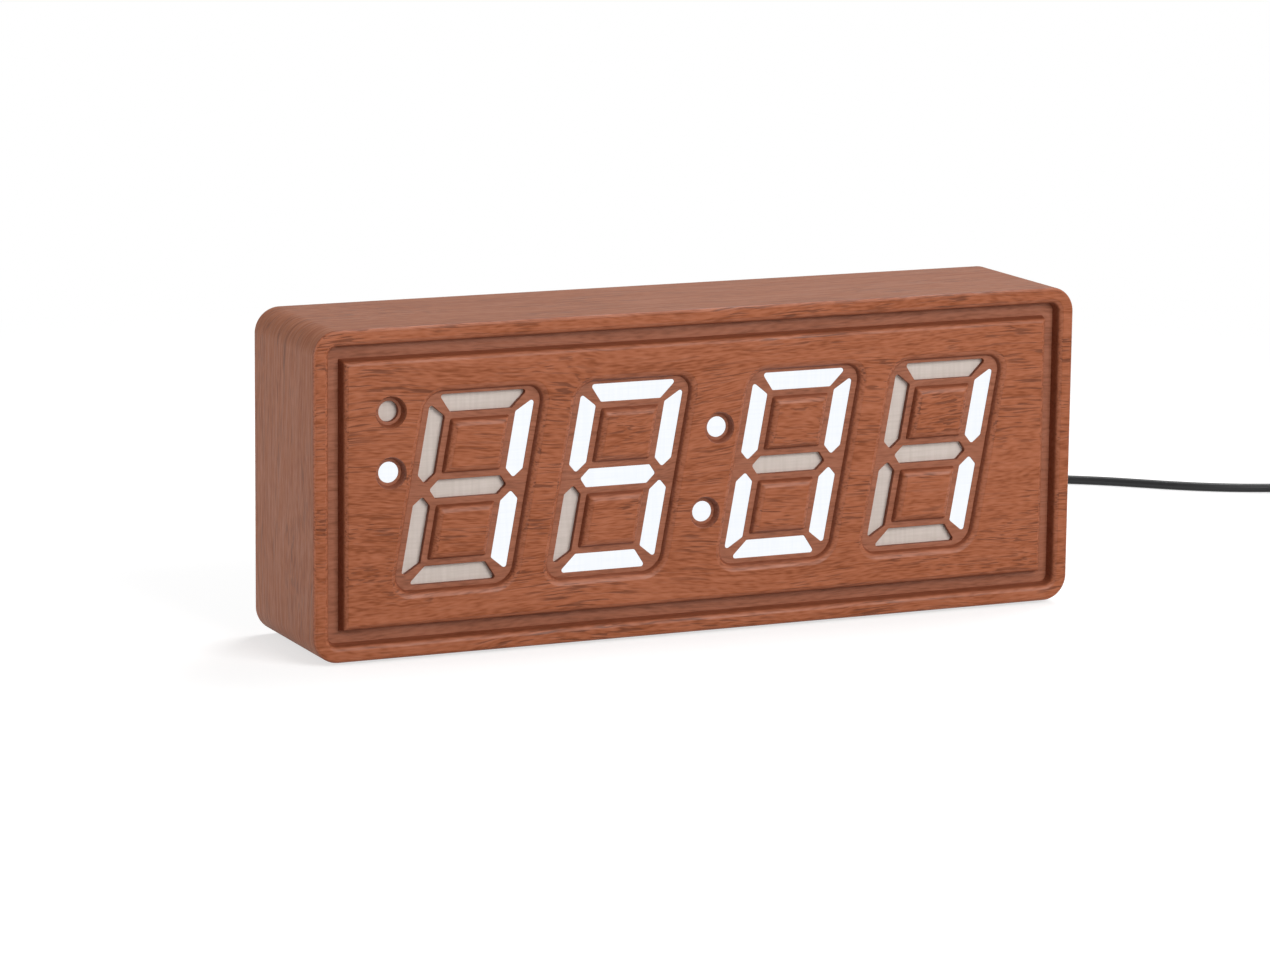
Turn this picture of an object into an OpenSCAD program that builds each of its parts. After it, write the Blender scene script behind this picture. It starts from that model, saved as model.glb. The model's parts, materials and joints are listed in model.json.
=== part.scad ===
// Desk alarm clock: a wooden box with a milled front board. The strokes of four digits, a colon
// and two alarm dots are cut through the board, and lamps behind a thin film light them.
// Millimetres. X runs to the right, Y to the back and Z up. The origin lies under the middle of
// the case, on the surface that the clock stands on, and the front faces -Y.

/* [Case] */
// Width of the wooden case
case_w = 200; // [198:1:240]
// Height of the wooden case without its pads
case_h = 78.6; // [76:0.2:100]
// Depth of the wooden case
case_d = 40; // [39:0.5:60]
// Thickness of the case wall
wall_t = 7; // [6:0.25:8]
// Radius of the four long outer corners
corner_r = 6.2; // [4:0.1:9]
// Radius of the hollow's corners
hollow_r = 2; // [1:0.25:3]
// Rounding of the front and back edges, which is also the lip round the front board
edge_r = 0.8; // [0.4:0.1:1.2]
// Width of the glue blocks in the back corners
block_w = 10; // [9:0.5:14]
// Depth of the glue blocks
block_d = 11; // [9:0.5:13]

/* [Pads] */
// Thickness of the pads that the case stands on
pad_t = 0.8; // [0.6:0.1:3]
// Diameter of a pad
pad_d = 12; // [8:0.5:14]
// Distance from a pad's middle to the end of the case
pad_inset_x = 20; // [10:1:40]
// Distance from a pad's middle to the front or back of the case
pad_inset_y = 11; // [8:0.5:16]

/* [Front board] */
// Thickness of the front board
front_t = 6; // [5:0.25:8]
// Width of the flat land round the edge of the front
land_w = 2.7; // [2:0.1:3.6]
// Width of the groove's flat floor
groove_floor_w = 2.8; // [1.5:0.1:3.2]
// Depth of the groove
groove_depth = 3; // [2:0.1:3.2]
// Corner radius of the groove's outer wall
groove_r = 1.8; // [0.4:0.1:2.5]
// Corner radius of the panel inside the groove
panel_r = 0.3; // [0.2:0.1:1.5]
// Height of the shoulder that every milled side ends in
shoulder_h = 0.6; // [0.4:0.1:1.2]
// Width by which the cutter's taper leans each milled wall back
wall_lean = 0.5; // [0:0.1:0.6]
// Width of the shoulders on both sides of the groove
shoulder_w = 1.6; // [0.8:0.1:2]
// Distance from the case's end to the recess behind the digits
recess_inset_x = 13; // [11.5:0.25:14]
// Distance from the case's top or bottom to the recess behind the digits
recess_inset_z = 11.3; // [10:0.1:12]

/* [Digits] */
// Height of a digit
digit_h = 45; // [38:0.1:46]
// Width of a stroke
stroke_w = 4.35; // [3:0.05:4.6]
// Slant of the digits in degrees
slant = 10; // [0:0.5:12]
// Distance from the case's ends to the pockets of the outer digits
digit_end_gap = 22.2; // [20:0.1:26]
// Gap between the pockets of the two digits of a pair
digit_gap = 5.4; // [3:0.1:7]
// Gap between the pockets of the two inner digits
pair_gap = 12; // [11.4:0.1:15]
// Distance of the four digits' middle to the right of the middle of the case
digit_shift = 0.5; // [-1:0.1:1]
// Height of the digits' middle above the middle of the case
digit_lift = 0; // [-1:0.1:1]
// Corner radius of a stroke's window
window_r = 0.6; // [0.2:0.05:0.8]
// Depth of the pocket round a digit
pocket_depth = 1.8; // [1.5:0.1:2]
// Width of the flat floor beside the windows and round the islands
pocket_floor_w = 1.5; // [0.8:0.1:1.7]
// Width of the flat floor above a digit's windows
pocket_top_w = 0.7; // [0.5:0.1:1.7]
// Width of the flat floor below a digit's windows
pocket_foot_w = 1.1; // [0.5:0.1:1.7]
// Width of the shoulder of a pocket
pocket_shoulder_w = 1.8; // [0.8:0.1:2]
// Corner radius of a pocket's wall
pocket_r = 4.2; // [2:0.1:4.6]
// Width of the shoulder of an island inside a digit
island_shoulder_w = 1.8; // [0.6:0.1:2.2]
// Corner radius of an island
island_r = 0.5; // [0.3:0.1:1.5]

/* [Dots] */
// Diameter of a dot's window
dot_d = 5; // [4:0.1:5.5]
// Diameter of the pocket round a dot, at the face
dot_pocket_d = 7.8; // [7:0.1:8]
// Diameter of the dot pocket's floor
dot_floor_d = 6.4; // [5.8:0.1:6.8]
// Distance between the two dots of the colon
colon_gap = 20.4; // [16:0.1:24]
// Distance of the colon to the right of the digits' middle
colon_x = 1.4; // [0:0.1:1.8]
// Web between the lower alarm dot's pocket and the first digit's pocket
alarm_dot_web = 0.3; // [0.2:0.1:2]
// Height of the lower alarm dot above the middle of the case
alarm_dot_low = 4.9; // [3:0.1:8]
// Distance between the two alarm dots
alarm_dot_gap = 14.4; // [12:0.1:16]

/* [Display] */
// Depth of the film behind the front face
film_depth = 3; // [2.6:0.1:4]
// Thickness of the film
film_t = 1; // [0.5:0.1:1.5]
// Depth of the light box behind the film
light_box_d = 7; // [6:0.25:9]
// Thickness of both circuit boards
board_t = 1.6; // [1:0.1:2]
// Length of a lamp
lamp_l = 3; // [2:0.1:3.2]
// Width of a lamp
lamp_w = 1.6; // [1:0.1:2]
// Height of a lamp
lamp_h = 1.1; // [0.6:0.1:1.9]

/* [Rear cover] */
// Depth of the rear cover inside the back edge of the case
cover_inset = 2; // [1.2:0.1:3]
// Thickness of the rear cover
cover_t = 2.5; // [2.2:0.1:3.5]
// Gap between the rear cover's edge and the case
cover_gap = 0.3; // [0.1:0.05:0.6]
// Height of the posts that carry the control board
post_h = 7.9; // [7.6:0.1:8.4]
// Diameter of a post
post_d = 6; // [5:0.25:7]

/* [Keys] */
// Distance between two keys
key_pitch = 14; // [12:0.5:15]
// Diameter of a key
key_d = 6; // [5:0.1:7]
// Diameter of a key's collar
key_collar_d = 8.4; // [7.6:0.1:9]
// Thickness of a key's collar
key_collar_t = 1.2; // [0.8:0.1:1.4]
// Height of a key above the rear cover
key_proud = 1; // [0.8:0.1:1.1]
// Travel of a key
key_travel = 0.5; // [0.2:0.05:0.6]
// Width of a switch under a key
switch_w = 6; // [5:0.1:7]
// Height of a switch without its plunger
switch_h = 3.5; // [3:0.1:3.8]
// Diameter of a switch's plunger
plunger_d = 3.5; // [3:0.1:4]

/* [Battery] */
// Diameter of the coin cell
cell_d = 20; // [19:0.1:20.5]
// Thickness of the coin cell
cell_t = 3.2; // [2.5:0.1:3.3]
// Side of the square battery door
door_w = 25.6; // [25:0.1:28]
// Thickness of the battery door
door_t = 1.8; // [1.5:0.1:1.9]

/* [Lead] */
// Diameter of the lead
cord_d = 2.4; // [2:0.1:2.6]
// Diameter of the plug's barrel
barrel_d = 3.5; // [3:0.1:4]
// Length of the plug's barrel
barrel_l = 9.2; // [8:0.1:9.4]
// Diameter of the round plug's grip
grip_d = 7.6; // [6.5:0.1:9]
// Length of the round plug's grip
grip_l = 17; // [14:0.5:22]
// Length of the lead's strain relief at the clock
relief_l = 14; // [10:0.5:18]
// Loops in the coil
coil_turns = 7.95; // [5.95:1:7.95]
// Diameter of the coil at the middle of its loops
coil_d = 28.4; // [26:0.2:30]
// Gap between neighbouring loops of the coil
coil_gap = 0.5; // [0.45:0.05:0.8]

/* [USB plug] */
// Width of the flat plug's grip
usb_grip_w = 15.6; // [14:0.2:18]
// Thickness of the flat plug's grip
usb_grip_t = 8; // [7:0.1:10]
// Length of the flat plug's grip
usb_grip_l = 27; // [20:0.5:32]
// Width of the plug's metal shell
usb_shell_w = 12; // [11.5:0.1:12.5]
// Thickness of the plug's metal shell
usb_shell_t = 4.5; // [4.2:0.1:4.8]
// Length of the plug's metal shell
usb_shell_l = 12; // [10:0.5:14]

/* [Hidden] */
$fn = 48;

// Overrun of every cut
over = 0.5;
// Gap between pieces that are pushed or glued together
fit_gap = 0.1;
// Gap round a piece that slides or turns
slide_gap = 0.15;

// Heights and depths that the pieces share
case_mid_z = pad_t + case_h / 2;
front_y = -case_d / 2;
back_y = case_d / 2;
front_board_back_y = front_y + front_t;
film_y = front_y + film_depth;
light_box_y = film_y + film_t;
display_board_y = light_box_y + light_box_d;
display_back_y = display_board_y + board_t;
cover_back_y = back_y - cover_inset;
cover_front_y = cover_back_y - cover_t;
control_back_y = cover_front_y - post_h;
control_front_y = control_back_y - board_t;
hollow_w = case_w - 2 * wall_t;
hollow_h = case_h - 2 * wall_t;
recess_w = case_w - 2 * recess_inset_x;
recess_h = case_h - 2 * recess_inset_z;
digit_z = case_mid_z + digit_lift;
pocket_w = (case_w - 2 * digit_end_gap - 2 * digit_gap - pair_gap) / 4;
digit_w = pocket_w - 2 * (pocket_floor_w + pocket_shoulder_w);
inner_digit_x = (pair_gap + pocket_w) / 2;
outer_digit_x = inner_digit_x + pocket_w + digit_gap;
DIGITS_X = [
  for (x = [-outer_digit_x, -inner_digit_x, inner_digit_x, outer_digit_x]) digit_shift + x
];
colon_slope_x = colon_gap / 2 * tan(slant);
// The alarm dots keep clear of the slanted edge of the first digit's pocket
alarm_dot_x = DIGITS_X[0] - pocket_w / 2 + (alarm_dot_low - digit_lift) * tan(slant)
  - (dot_pocket_d / 2 + alarm_dot_web) / cos(slant);
DOTS = [
  [alarm_dot_x, case_mid_z + alarm_dot_low],
  [alarm_dot_x, case_mid_z + alarm_dot_low + alarm_dot_gap],
  [digit_shift + colon_x - colon_slope_x, digit_z - colon_gap / 2],
  [digit_shift + colon_x + colon_slope_x, digit_z + colon_gap / 2]
];

// Places on the control board, measured from the middle of the case
control_w = 140;
control_h = 44;
control_x = 8;
control_z = case_mid_z;
post_inset = 4;
keys_x = -48;
keys_rise = 10;
keys_z = control_z + keys_rise;
KEYS_X = [for (i = [0:3]) keys_x + i * key_pitch];
cell_x = 30;
cell_rise = 2;
cell_z = control_z + cell_rise;
buzzer_x = -46;
buzzer_drop = 10;
buzzer_z = control_z - buzzer_drop;
jack_x = 64;
jack_drop = 12;
jack_z = control_z - jack_drop;
POSTS = [
  for (sx = [-1, 1]) for (sz = [-1, 1])
    [control_x + sx * (control_w / 2 - post_inset), control_z + sz * (control_h / 2 - post_inset)]
];
COVER_SCREWS = [
  for (sx = [-1, 1]) for (sz = [-1, 1])
    [sx * (hollow_w - block_w) / 2, case_mid_z + sz * (hollow_h - block_w) / 2]
];

// Screws: radius of the shank and of the head, and the small machine screws' lengths
small_screw_r = 1;
small_head_r = 1.9;
small_head_h = 1.3;
cover_screw_r = 1.4;
cover_screw_l = 11;
cover_head_r = 2.6;
cover_head_h = 1.5;
slot_w = 0.6;
thread_gap = 0.05;

// Plain shapes

// A flat piece that starts at depth y and is t thick towards the back; its outline is in X and Z
module plate(y, t) {
  translate([0, y, 0]) mirror([0, 1, 0]) rotate([90, 0, 0]) linear_extrude(t) children();
}

// A round bar along Y from depth y, l long
module bar(x, z, y, l, r) {
  translate([x, y, z]) rotate([-90, 0, 0]) cylinder(h = l, r = r);
}

// A bar along Y whose radius goes from r1 at depth y to r2 at its far end
module taper_bar(x, z, y, l, r1, r2) {
  translate([x, y, z]) rotate([-90, 0, 0]) cylinder(h = l, r1 = r1, r2 = r2);
}

// A rectangle with true round corners
module round_rect(w, h, r) {
  square([w, h - 2 * r], center = true);
  square([w - 2 * r, h], center = true);
  for (sx = [-1, 1]) for (sy = [-1, 1])
    translate([sx * (w / 2 - r), sy * (h / 2 - r)]) circle(r);
}

// A block of size w by h by t whose middle in X and Z is (x, z) and that starts at depth y
module block(x, z, y, w, h, t) {
  translate([x - w / 2, y, z - h / 2]) cube([w, t, h]);
}

// Steps in a rounded corner: of a milled field, of the case and of a stroke's window
CORNER_STEPS = 4;
CASE_CORNER_STEPS = 8;
WINDOW_CORNER_STEPS = 3;

// Outline points of a rounded rectangle, anticlockwise, with n steps in each corner
function rect_points(w, h, r, n = CORNER_STEPS) = [
  for (q = [0:3]) for (i = [0:n])
    let (a = 90 * q + 90 * i / n, sx = q == 0 || q == 3 ? 1 : -1, sy = q < 2 ? 1 : -1)
    [sx * (w / 2 - r) + r * cos(a), sy * (h / 2 - r) + r * sin(a)]
];

// Points leaned over by the slant of the digits
function lean(points) = [for (p = points) [p.x + p.y * tan(slant), p.y]];

function unit(v) = v / norm(v);

// The corners of an outline rounded with radius r in n steps
function round_corners(points, r, n = WINDOW_CORNER_STEPS) = [
  for (i = [0:len(points) - 1])
    let (
      p = points[i],
      u = unit(points[(i + len(points) - 1) % len(points)] - p),
      w = unit(points[(i + 1) % len(points)] - p),
      half = acos(u * w) / 2,
      mid = p + unit(u + w) * r / sin(half),
      a = p + u * r / tan(half) - mid,
      b = p + w * r / tan(half) - mid,
      start = atan2(a.y, a.x),
      swing = atan2(a.x * b.y - a.y * b.x, a * b)
    )
    for (k = [0:n]) mid + r * [cos(start + swing * k / n), sin(start + swing * k / n)]
];

// A closed body through outlines with as many points each, as [height, points] from the lowest up
module loft(layers) {
  n = len(layers[0][1]);
  top = len(layers) - 1;
  polyhedron(
    points = [for (layer = layers) for (p = layer[1]) [p.x, p.y, layer[0]]],
    faces = concat(
      [[for (i = [0:n - 1]) i]],
      [
        for (k = [0:top - 1]) for (i = [0:n - 1])
          let (a = k * n + i, b = k * n + (i + 1) % n)
          each [[a, a + n, b + n], [a, b + n, b]]
      ],
      [[for (i = [n - 1:-1:0]) top * n + i]]
    )
  );
}

// Steps in the rounded edges of the case
EDGE_STEPS = 3;

// The side of a milled field from its foot up to the face, as [distance from the foot, height from
// the face]: a wall that leans back, then a flatter shoulder that meets the face in a crisp edge
function side_steps(w, depth) = [[0, -depth], [min(wall_lean, w), -shoulder_h], [w, 0]];

// The milling of a sunk field: its floor is w by h, and its shoulder widens it to the face
module sunk_field(w, h, r, side_w, depth, leaning = false) {
  side = side_steps(side_w, depth);
  loft([
    for (step = concat(side, [[side_w, over]]))
      let (points = rect_points(w + 2 * step.x, h + 2 * step.x, r + step.x))
      [step.y, leaning ? lean(points) : points]
  ]);
}

// A field left standing: w by h at its foot, with a shoulder that narrows it to the face
module raised_field(w, h, r, side_w, depth, leaning = false) {
  side = side_steps(side_w, depth);
  loft([
    for (step = concat([[0, -depth - over]], side, [[side_w, 2 * over]]))
      let (points = rect_points(w - 2 * step.x, h - 2 * step.x, r))
      [step.y, leaning ? lean(points) : points]
  ]);
}

// Places its children on the front face, with their X and Y along the face and Z out of it
module on_front(x, z) {
  translate([x, front_y, z]) rotate([90, 0, 0]) children();
}

// Digit strokes. Each end of a stroke stands in from the digit's corner by these shares of the
// stroke's width.
bar_end_shares = [0.45, 1.28];
upright_top_shares = [0.48, 1.19];
upright_foot_shares = [0.88, 0.48, 0.35, 0.82];
middle_end_shares = [0.81, 1.24, 0.51];
half_w = digit_w / 2;
half_h = digit_h / 2;

top_bar = [
  [half_w - bar_end_shares[0] * stroke_w, half_h],
  [-half_w + bar_end_shares[0] * stroke_w, half_h],
  [-half_w + bar_end_shares[1] * stroke_w, half_h - stroke_w],
  [half_w - bar_end_shares[1] * stroke_w, half_h - stroke_w]
];
right_upright = [
  [half_w, half_h - upright_top_shares[0] * stroke_w],
  [half_w - stroke_w, half_h - upright_top_shares[1] * stroke_w],
  [half_w - stroke_w, upright_foot_shares[0] * stroke_w],
  [half_w - upright_foot_shares[1] * stroke_w, upright_foot_shares[2] * stroke_w],
  [half_w, upright_foot_shares[3] * stroke_w]
];
middle_bar = [
  for (s = [1, -1]) each [
    [s * (half_w - middle_end_shares[0] * stroke_w), 0],
    [s * (half_w - middle_end_shares[1] * stroke_w), s * middle_end_shares[2] * stroke_w],
    [-s * (half_w - middle_end_shares[1] * stroke_w), s * middle_end_shares[2] * stroke_w]
  ]
];

function flip_x(points) = [for (p = points) [-p.x, p.y]];
function flip_y(points) = [for (p = points) [p.x, -p.y]];

// The seven strokes of a digit about its middle, still upright
STROKES = [
  top_bar, right_upright, flip_y(right_upright), flip_y(top_bar),
  flip_y(flip_x(right_upright)), flip_x(right_upright), middle_bar
];

// Outlines of every window in X and Z: 28 strokes and 4 dots
module windows() {
  for (x = DIGITS_X) translate([x, digit_z])
    for (stroke = STROKES) polygon(round_corners(lean(stroke), window_r));
  for (dot = DOTS) translate(dot) circle(d = dot_d);
}

// Case

// The wooden sleeve: four walls bent from one laminated board, open at the front and back
module case_sleeve() {
  color("#8b5a44") difference() {
    translate([0, front_y, case_mid_z]) mirror([0, 1, 0]) rotate([90, 0, 0]) loft([
      for (k = [0:2 * EDGE_STEPS + 1])
        let (
          at_back = k > EDGE_STEPS,
          t = at_back ? (2 * EDGE_STEPS + 1 - k) / EDGE_STEPS : k / EDGE_STEPS,
          inset = edge_r * (1 - sin(90 * t)),
          depth = edge_r * (1 - cos(90 * t))
        )
        [
          at_back ? case_d - depth : depth,
          rect_points(case_w - 2 * inset, case_h - 2 * inset, corner_r - inset, CASE_CORNER_STEPS)
        ]
    ]);
    plate(front_y - over, case_d + 2 * over)
      translate([0, case_mid_z]) round_rect(hollow_w, hollow_h, hollow_r);
    plate(front_y - over, front_t + over)
      translate([0, case_mid_z])
      round_rect(case_w - 2 * edge_r, case_h - 2 * edge_r, corner_r - edge_r);
  }
}

// The front board: land, groove and panel round the digit pockets, with the windows cut through
module front_board() {
  color("#a5532f") difference() {
    plate(front_y, front_t) translate([0, case_mid_z]) round_rect(
      case_w - 2 * edge_r - 2 * fit_gap,
      case_h - 2 * edge_r - 2 * fit_gap,
      corner_r - edge_r - fit_gap
    );
    on_front(0, case_mid_z) front_groove();
    for (x = DIGITS_X) on_front(x, digit_z) digit_pocket();
    for (dot = DOTS) on_front(dot.x, dot.y) dot_pocket();
    plate(front_y, film_depth + over) windows();
    plate(film_y, front_t - film_depth + over)
      translate([0, case_mid_z]) square([recess_w, recess_h], center = true);
    for (at = DISPLAY_SCREWS)
      bar(at.x, at.y, display_screw_tip_y - fit_gap, front_t, small_screw_r + thread_gap);
  }
}

module front_groove() {
  wall_inset = land_w + shoulder_w;
  panel_inset = wall_inset + groove_floor_w;
  difference() {
    sunk_field(
      case_w - 2 * wall_inset, case_h - 2 * wall_inset, groove_r, shoulder_w, groove_depth
    );
    raised_field(
      case_w - 2 * panel_inset, case_h - 2 * panel_inset, panel_r, shoulder_w, groove_depth
    );
  }
}

// The round pocket of one dot
module dot_pocket() {
  rotate_extrude() polygon([
    [0, -pocket_depth],
    for (step = side_steps((dot_pocket_d - dot_floor_d) / 2, pocket_depth))
      [dot_floor_d / 2 + step.x, step.y],
    [dot_pocket_d / 2, over],
    [0, over]
  ]);
}

// The pocket round one digit, with the two islands inside its strokes left standing
module digit_pocket() {
  middle_half_t = middle_end_shares[2] * stroke_w;
  island_w = digit_w - 2 * stroke_w - 2 * pocket_floor_w;
  island_h = half_h - stroke_w - middle_half_t - 2 * pocket_floor_w;
  island_y = (half_h - stroke_w + middle_half_t) / 2;
  pocket_y = (pocket_top_w - pocket_foot_w) / 2;
  difference() {
    translate([pocket_y * tan(slant), pocket_y, 0]) sunk_field(
      digit_w + 2 * pocket_floor_w, digit_h + pocket_top_w + pocket_foot_w,
      pocket_r, pocket_shoulder_w, pocket_depth, true
    );
    for (s = [-1, 1]) translate([s * island_y * tan(slant), s * island_y, 0])
      raised_field(island_w, island_h, island_r, island_shoulder_w, pocket_depth, true);
  }
}

// Four wooden blocks glued into the back corners, which the rear screws bite into
module glue_blocks() {
  color("#c8a070") difference() {
    plate(cover_front_y - block_d, block_d) intersection() {
      translate([0, case_mid_z])
        round_rect(hollow_w - 2 * fit_gap, hollow_h - 2 * fit_gap, hollow_r);
      for (at = COVER_SCREWS) translate(at) square(block_w, center = true);
    }
    for (at = COVER_SCREWS)
      bar(at.x, at.y, cover_screw_tip_y - fit_gap, cover_screw_l + over,
        cover_screw_r + thread_gap);
  }
}

// Four thin round pads under the case
module case_pads() {
  color("#3a3634") for (sx = [-1, 1]) for (sy = [-1, 1])
    translate([sx * (case_w / 2 - pad_inset_x), sy * (case_d / 2 - pad_inset_y), 0])
      cylinder(h = pad_t, d = pad_d);
}

// Display

DISPLAY_SCREWS = [
  for (sx = [-1, 1]) for (sz = [-1, 1])
    [
      sx * (recess_w + hollow_w) / 4,
      case_mid_z + sz * (recess_h / 2 - small_head_r)
    ]
];
display_screw_bite = 2.5;
display_screw_tip_y = front_board_back_y - display_screw_bite;

// The thin film behind the windows
module display_film() {
  color("#c9c0b4") plate(film_y, film_t) translate([0, case_mid_z])
    square([recess_w - 2 * fit_gap, recess_h - 2 * fit_gap], center = true);
}

// The white box that keeps each stroke's light to itself
module light_box() {
  color("#efefea") difference() {
    union() {
      plate(light_box_y, light_box_d) translate([0, case_mid_z])
        square([recess_w - 2 * fit_gap, recess_h - 2 * fit_gap], center = true);
      plate(front_board_back_y, display_board_y - front_board_back_y)
        translate([0, case_mid_z])
        round_rect(hollow_w - 2 * cover_gap, hollow_h - 2 * cover_gap, hollow_r);
    }
    plate(light_box_y - over, light_box_d + 2 * over) windows();
    for (at = DISPLAY_SCREWS)
      bar(at.x, at.y, light_box_y, light_box_d + over, small_screw_r + fit_gap);
  }
}

// The circuit board that carries the lamps
module display_board() {
  color("#1f5a38") difference() {
    plate(display_board_y, board_t) translate([0, case_mid_z])
      round_rect(hollow_w - 2 * cover_gap, hollow_h - 2 * cover_gap, hollow_r);
    for (at = DISPLAY_SCREWS)
      bar(at.x, at.y, display_board_y - over, board_t + 2 * over, small_screw_r + fit_gap);
  }
}

// Two lamps behind each stroke and one behind each dot
lamp_spread_share = 0.3;

module lamp() {
  translate([-lamp_l / 2, -lamp_w / 2, 0]) cube([lamp_l, lamp_w, lamp_h]);
}

module segment_lamps() {
  bar_y = half_h - stroke_w / 2;
  upright_x = half_w - stroke_w / 2;
  upright_y = half_h / 2;
  spread = lamp_spread_share * half_w;
  color("#f4e7a0") translate([0, display_board_y, 0]) rotate([90, 0, 0]) {
    for (x = DIGITS_X) translate([x, digit_z]) {
      for (y = [-bar_y, 0, bar_y]) for (s = [-1, 1])
        translate([y * tan(slant) + s * spread, y]) lamp();
      for (sx = [-1, 1]) for (sy = [-1, 1]) for (s = [-1, 1])
        let (y = sy * upright_y + s * spread)
        translate([sx * upright_x + y * tan(slant), y]) rotate(90 - slant) lamp();
    }
    for (dot = DOTS) translate(dot) lamp();
  }
}

// A flat chip with legs along two sides, standing out of the face that its children lie on
module chip(w, h, t, legs) {
  leg_pitch = w / legs;
  translate([-w / 2, -h / 2, chip_lift]) cube([w, h, t - chip_lift]);
  for (i = [0:legs - 1]) for (y = [h / 2 - over, -h / 2 - chip_leg_l])
    translate([(i - (legs - 1) / 2) * leg_pitch - leg_pitch / 4, y, 0])
      cube([leg_pitch / 2, chip_leg_l + over, t / 2]);
}
chip_lift = 0.2;
chip_leg_l = 1.2;
driver_w = 15;
driver_h = 7;
driver_t = 2;
driver_x = 32;
driver_rise = 12;
driver_z = case_mid_z + driver_rise;
driver_legs = 10;

module driver_chips() {
  color("#26262a") translate([0, display_back_y, 0]) mirror([0, 1, 0]) rotate([90, 0, 0])
    for (s = [-1, 1]) translate([s * driver_x, driver_z])
      chip(driver_w, driver_h, driver_t, driver_legs);
}

// Sockets and flat cable between the two boards
socket_w = 20;
socket_h = 5.6;
socket_t = 4;
cable_w = 16;
cable_t = 1;
cable_x = -20;
display_socket_drop = 16;
display_socket_z = case_mid_z - display_socket_drop;
control_socket_z = case_mid_z;
CABLE_STEPS = 16;

module display_socket() {
  color("#e8e4d6") block(cable_x, display_socket_z, display_back_y, socket_w, socket_h, socket_t);
}

module control_socket() {
  color("#e8e4d6")
    block(cable_x, control_socket_z, control_front_y - socket_t, socket_w, socket_h, socket_t);
}

function bezier(p, t) =
  p[0] * (1 - t) ^ 3 + 3 * p[1] * (1 - t) ^ 2 * t + 3 * p[2] * (1 - t) * t ^ 2 + p[3] * t ^ 3;
function bezier_run(p, t) =
  (p[1] - p[0]) * (1 - t) ^ 2 + 2 * (p[2] - p[1]) * (1 - t) * t + (p[3] - p[2]) * t ^ 2;

module ribbon_cable() {
  y0 = display_back_y + socket_t;
  y1 = control_front_y - socket_t;
  reach = socket_t;
  path = [
    [y0, display_socket_z], [y0 + reach, display_socket_z],
    [y1 - reach, control_socket_z], [y1, control_socket_z]
  ];
  edge = [
    for (i = [0:CABLE_STEPS])
      let (t = i / CABLE_STEPS, p = bezier(path, t), d = unit(bezier_run(path, t)))
      [p, [-d.y, d.x] * cable_t / 2]
  ];
  color("#8f9297") translate([cable_x - cable_w / 2, 0, 0]) rotate([90, 0, 90])
    linear_extrude(cable_w) polygon(concat(
      [for (e = edge) e[0] + e[1]],
      [for (i = [CABLE_STEPS:-1:0]) edge[i][0] - edge[i][1]]
    ));
}

// A small screw along -Y: its head lies on the face at depth y, and its shank is l long
module small_screw(x, z, y, l) {
  difference() {
    union() {
      bar(x, z, y, small_head_h, small_head_r);
      bar(x, z, y - l, l, small_screw_r);
    }
    for (turn = [0, 90]) translate([x, y + small_head_h, z]) rotate([0, turn, 0])
      translate([-small_head_r * 2 / 3, -small_head_h / 2, -slot_w / 2])
      cube([small_head_r * 4 / 3, small_head_h, slot_w]);
  }
}

module display_screws() {
  color("#b8bcc0") for (at = DISPLAY_SCREWS)
    small_screw(at.x, at.y, display_back_y, display_back_y - display_screw_tip_y);
}

// Controls

// The circuit board behind the rear cover, with the clock's works on it
module control_board() {
  color("#1f5a38") difference() {
    plate(control_front_y, board_t) translate([control_x, control_z])
      square([control_w, control_h], center = true);
    for (at = POSTS)
      bar(at.x, at.y, control_front_y - over, board_t + 2 * over, small_screw_r + fit_gap);
  }
}

controller_w = 10;
controller_t = 1.8;
controller_x = 6;
controller_rise = 6;
controller_z = control_z + controller_rise;
controller_legs = 8;

module controller_chip() {
  color("#26262a") translate([controller_x, control_front_y, controller_z]) rotate([90, 0, 0])
    chip(controller_w, controller_w, controller_t, controller_legs);
}

// The watch crystal: a small can lying on the board beside the controller
crystal_r = 1.5;
crystal_l = 8;
crystal_x = 20;

module clock_crystal() {
  color("#c8ccd0") translate([crystal_x, control_front_y - crystal_r, controller_z - crystal_l / 2])
    cylinder(h = crystal_l, r = crystal_r);
}

capacitor_r = 3.15;
// Room between the capacitors' ends and the display board
capacitor_room = 6.4;
capacitor_h = control_front_y - display_back_y - capacitor_room;
capacitor_x = 46;
capacitor_pitch = 9;
CAPACITORS = 3;

module smoothing_capacitors() {
  color("#2b3550") for (i = [0:CAPACITORS - 1])
    bar(capacitor_x + (i - 1) * capacitor_pitch, controller_z,
      control_front_y - capacitor_h, capacitor_h, capacitor_r);
}

// The alarm buzzer: a round can with a sound hole, behind the holes in the rear cover
buzzer_r = 6;
buzzer_h = 7;
buzzer_hole_r = 1;

module alarm_buzzer() {
  color("#1c1c1e") difference() {
    bar(buzzer_x, buzzer_z, control_back_y, buzzer_h, buzzer_r);
    bar(buzzer_x, buzzer_z, control_back_y + buzzer_h / 2, buzzer_h, buzzer_hole_r);
  }
}

module control_screws() {
  screw_l = board_t + post_h / 2;
  color("#b8bcc0") for (at = POSTS) mirror([0, 1, 0])
    small_screw(at.x, at.y, -control_front_y, screw_l);
}

// Keys. Each key's stem pushes the plunger of the switch on the control board.
key_stem_r = 1.5;
key_stem_l = 2;
plunger_in = 1;
switch_back_y = control_back_y + switch_h;
plunger_y = switch_back_y - plunger_in;
plunger_end_y = cover_front_y - key_collar_t - key_stem_l;

module key_switches() {
  color("#2a2a2c") difference() {
    for (x = KEYS_X) block(x, keys_z, control_back_y, switch_w, switch_w, switch_h);
    for (x = KEYS_X)
      bar(x, keys_z, plunger_y - key_travel - slide_gap, switch_h, plunger_d / 2 + slide_gap);
  }
}

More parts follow.
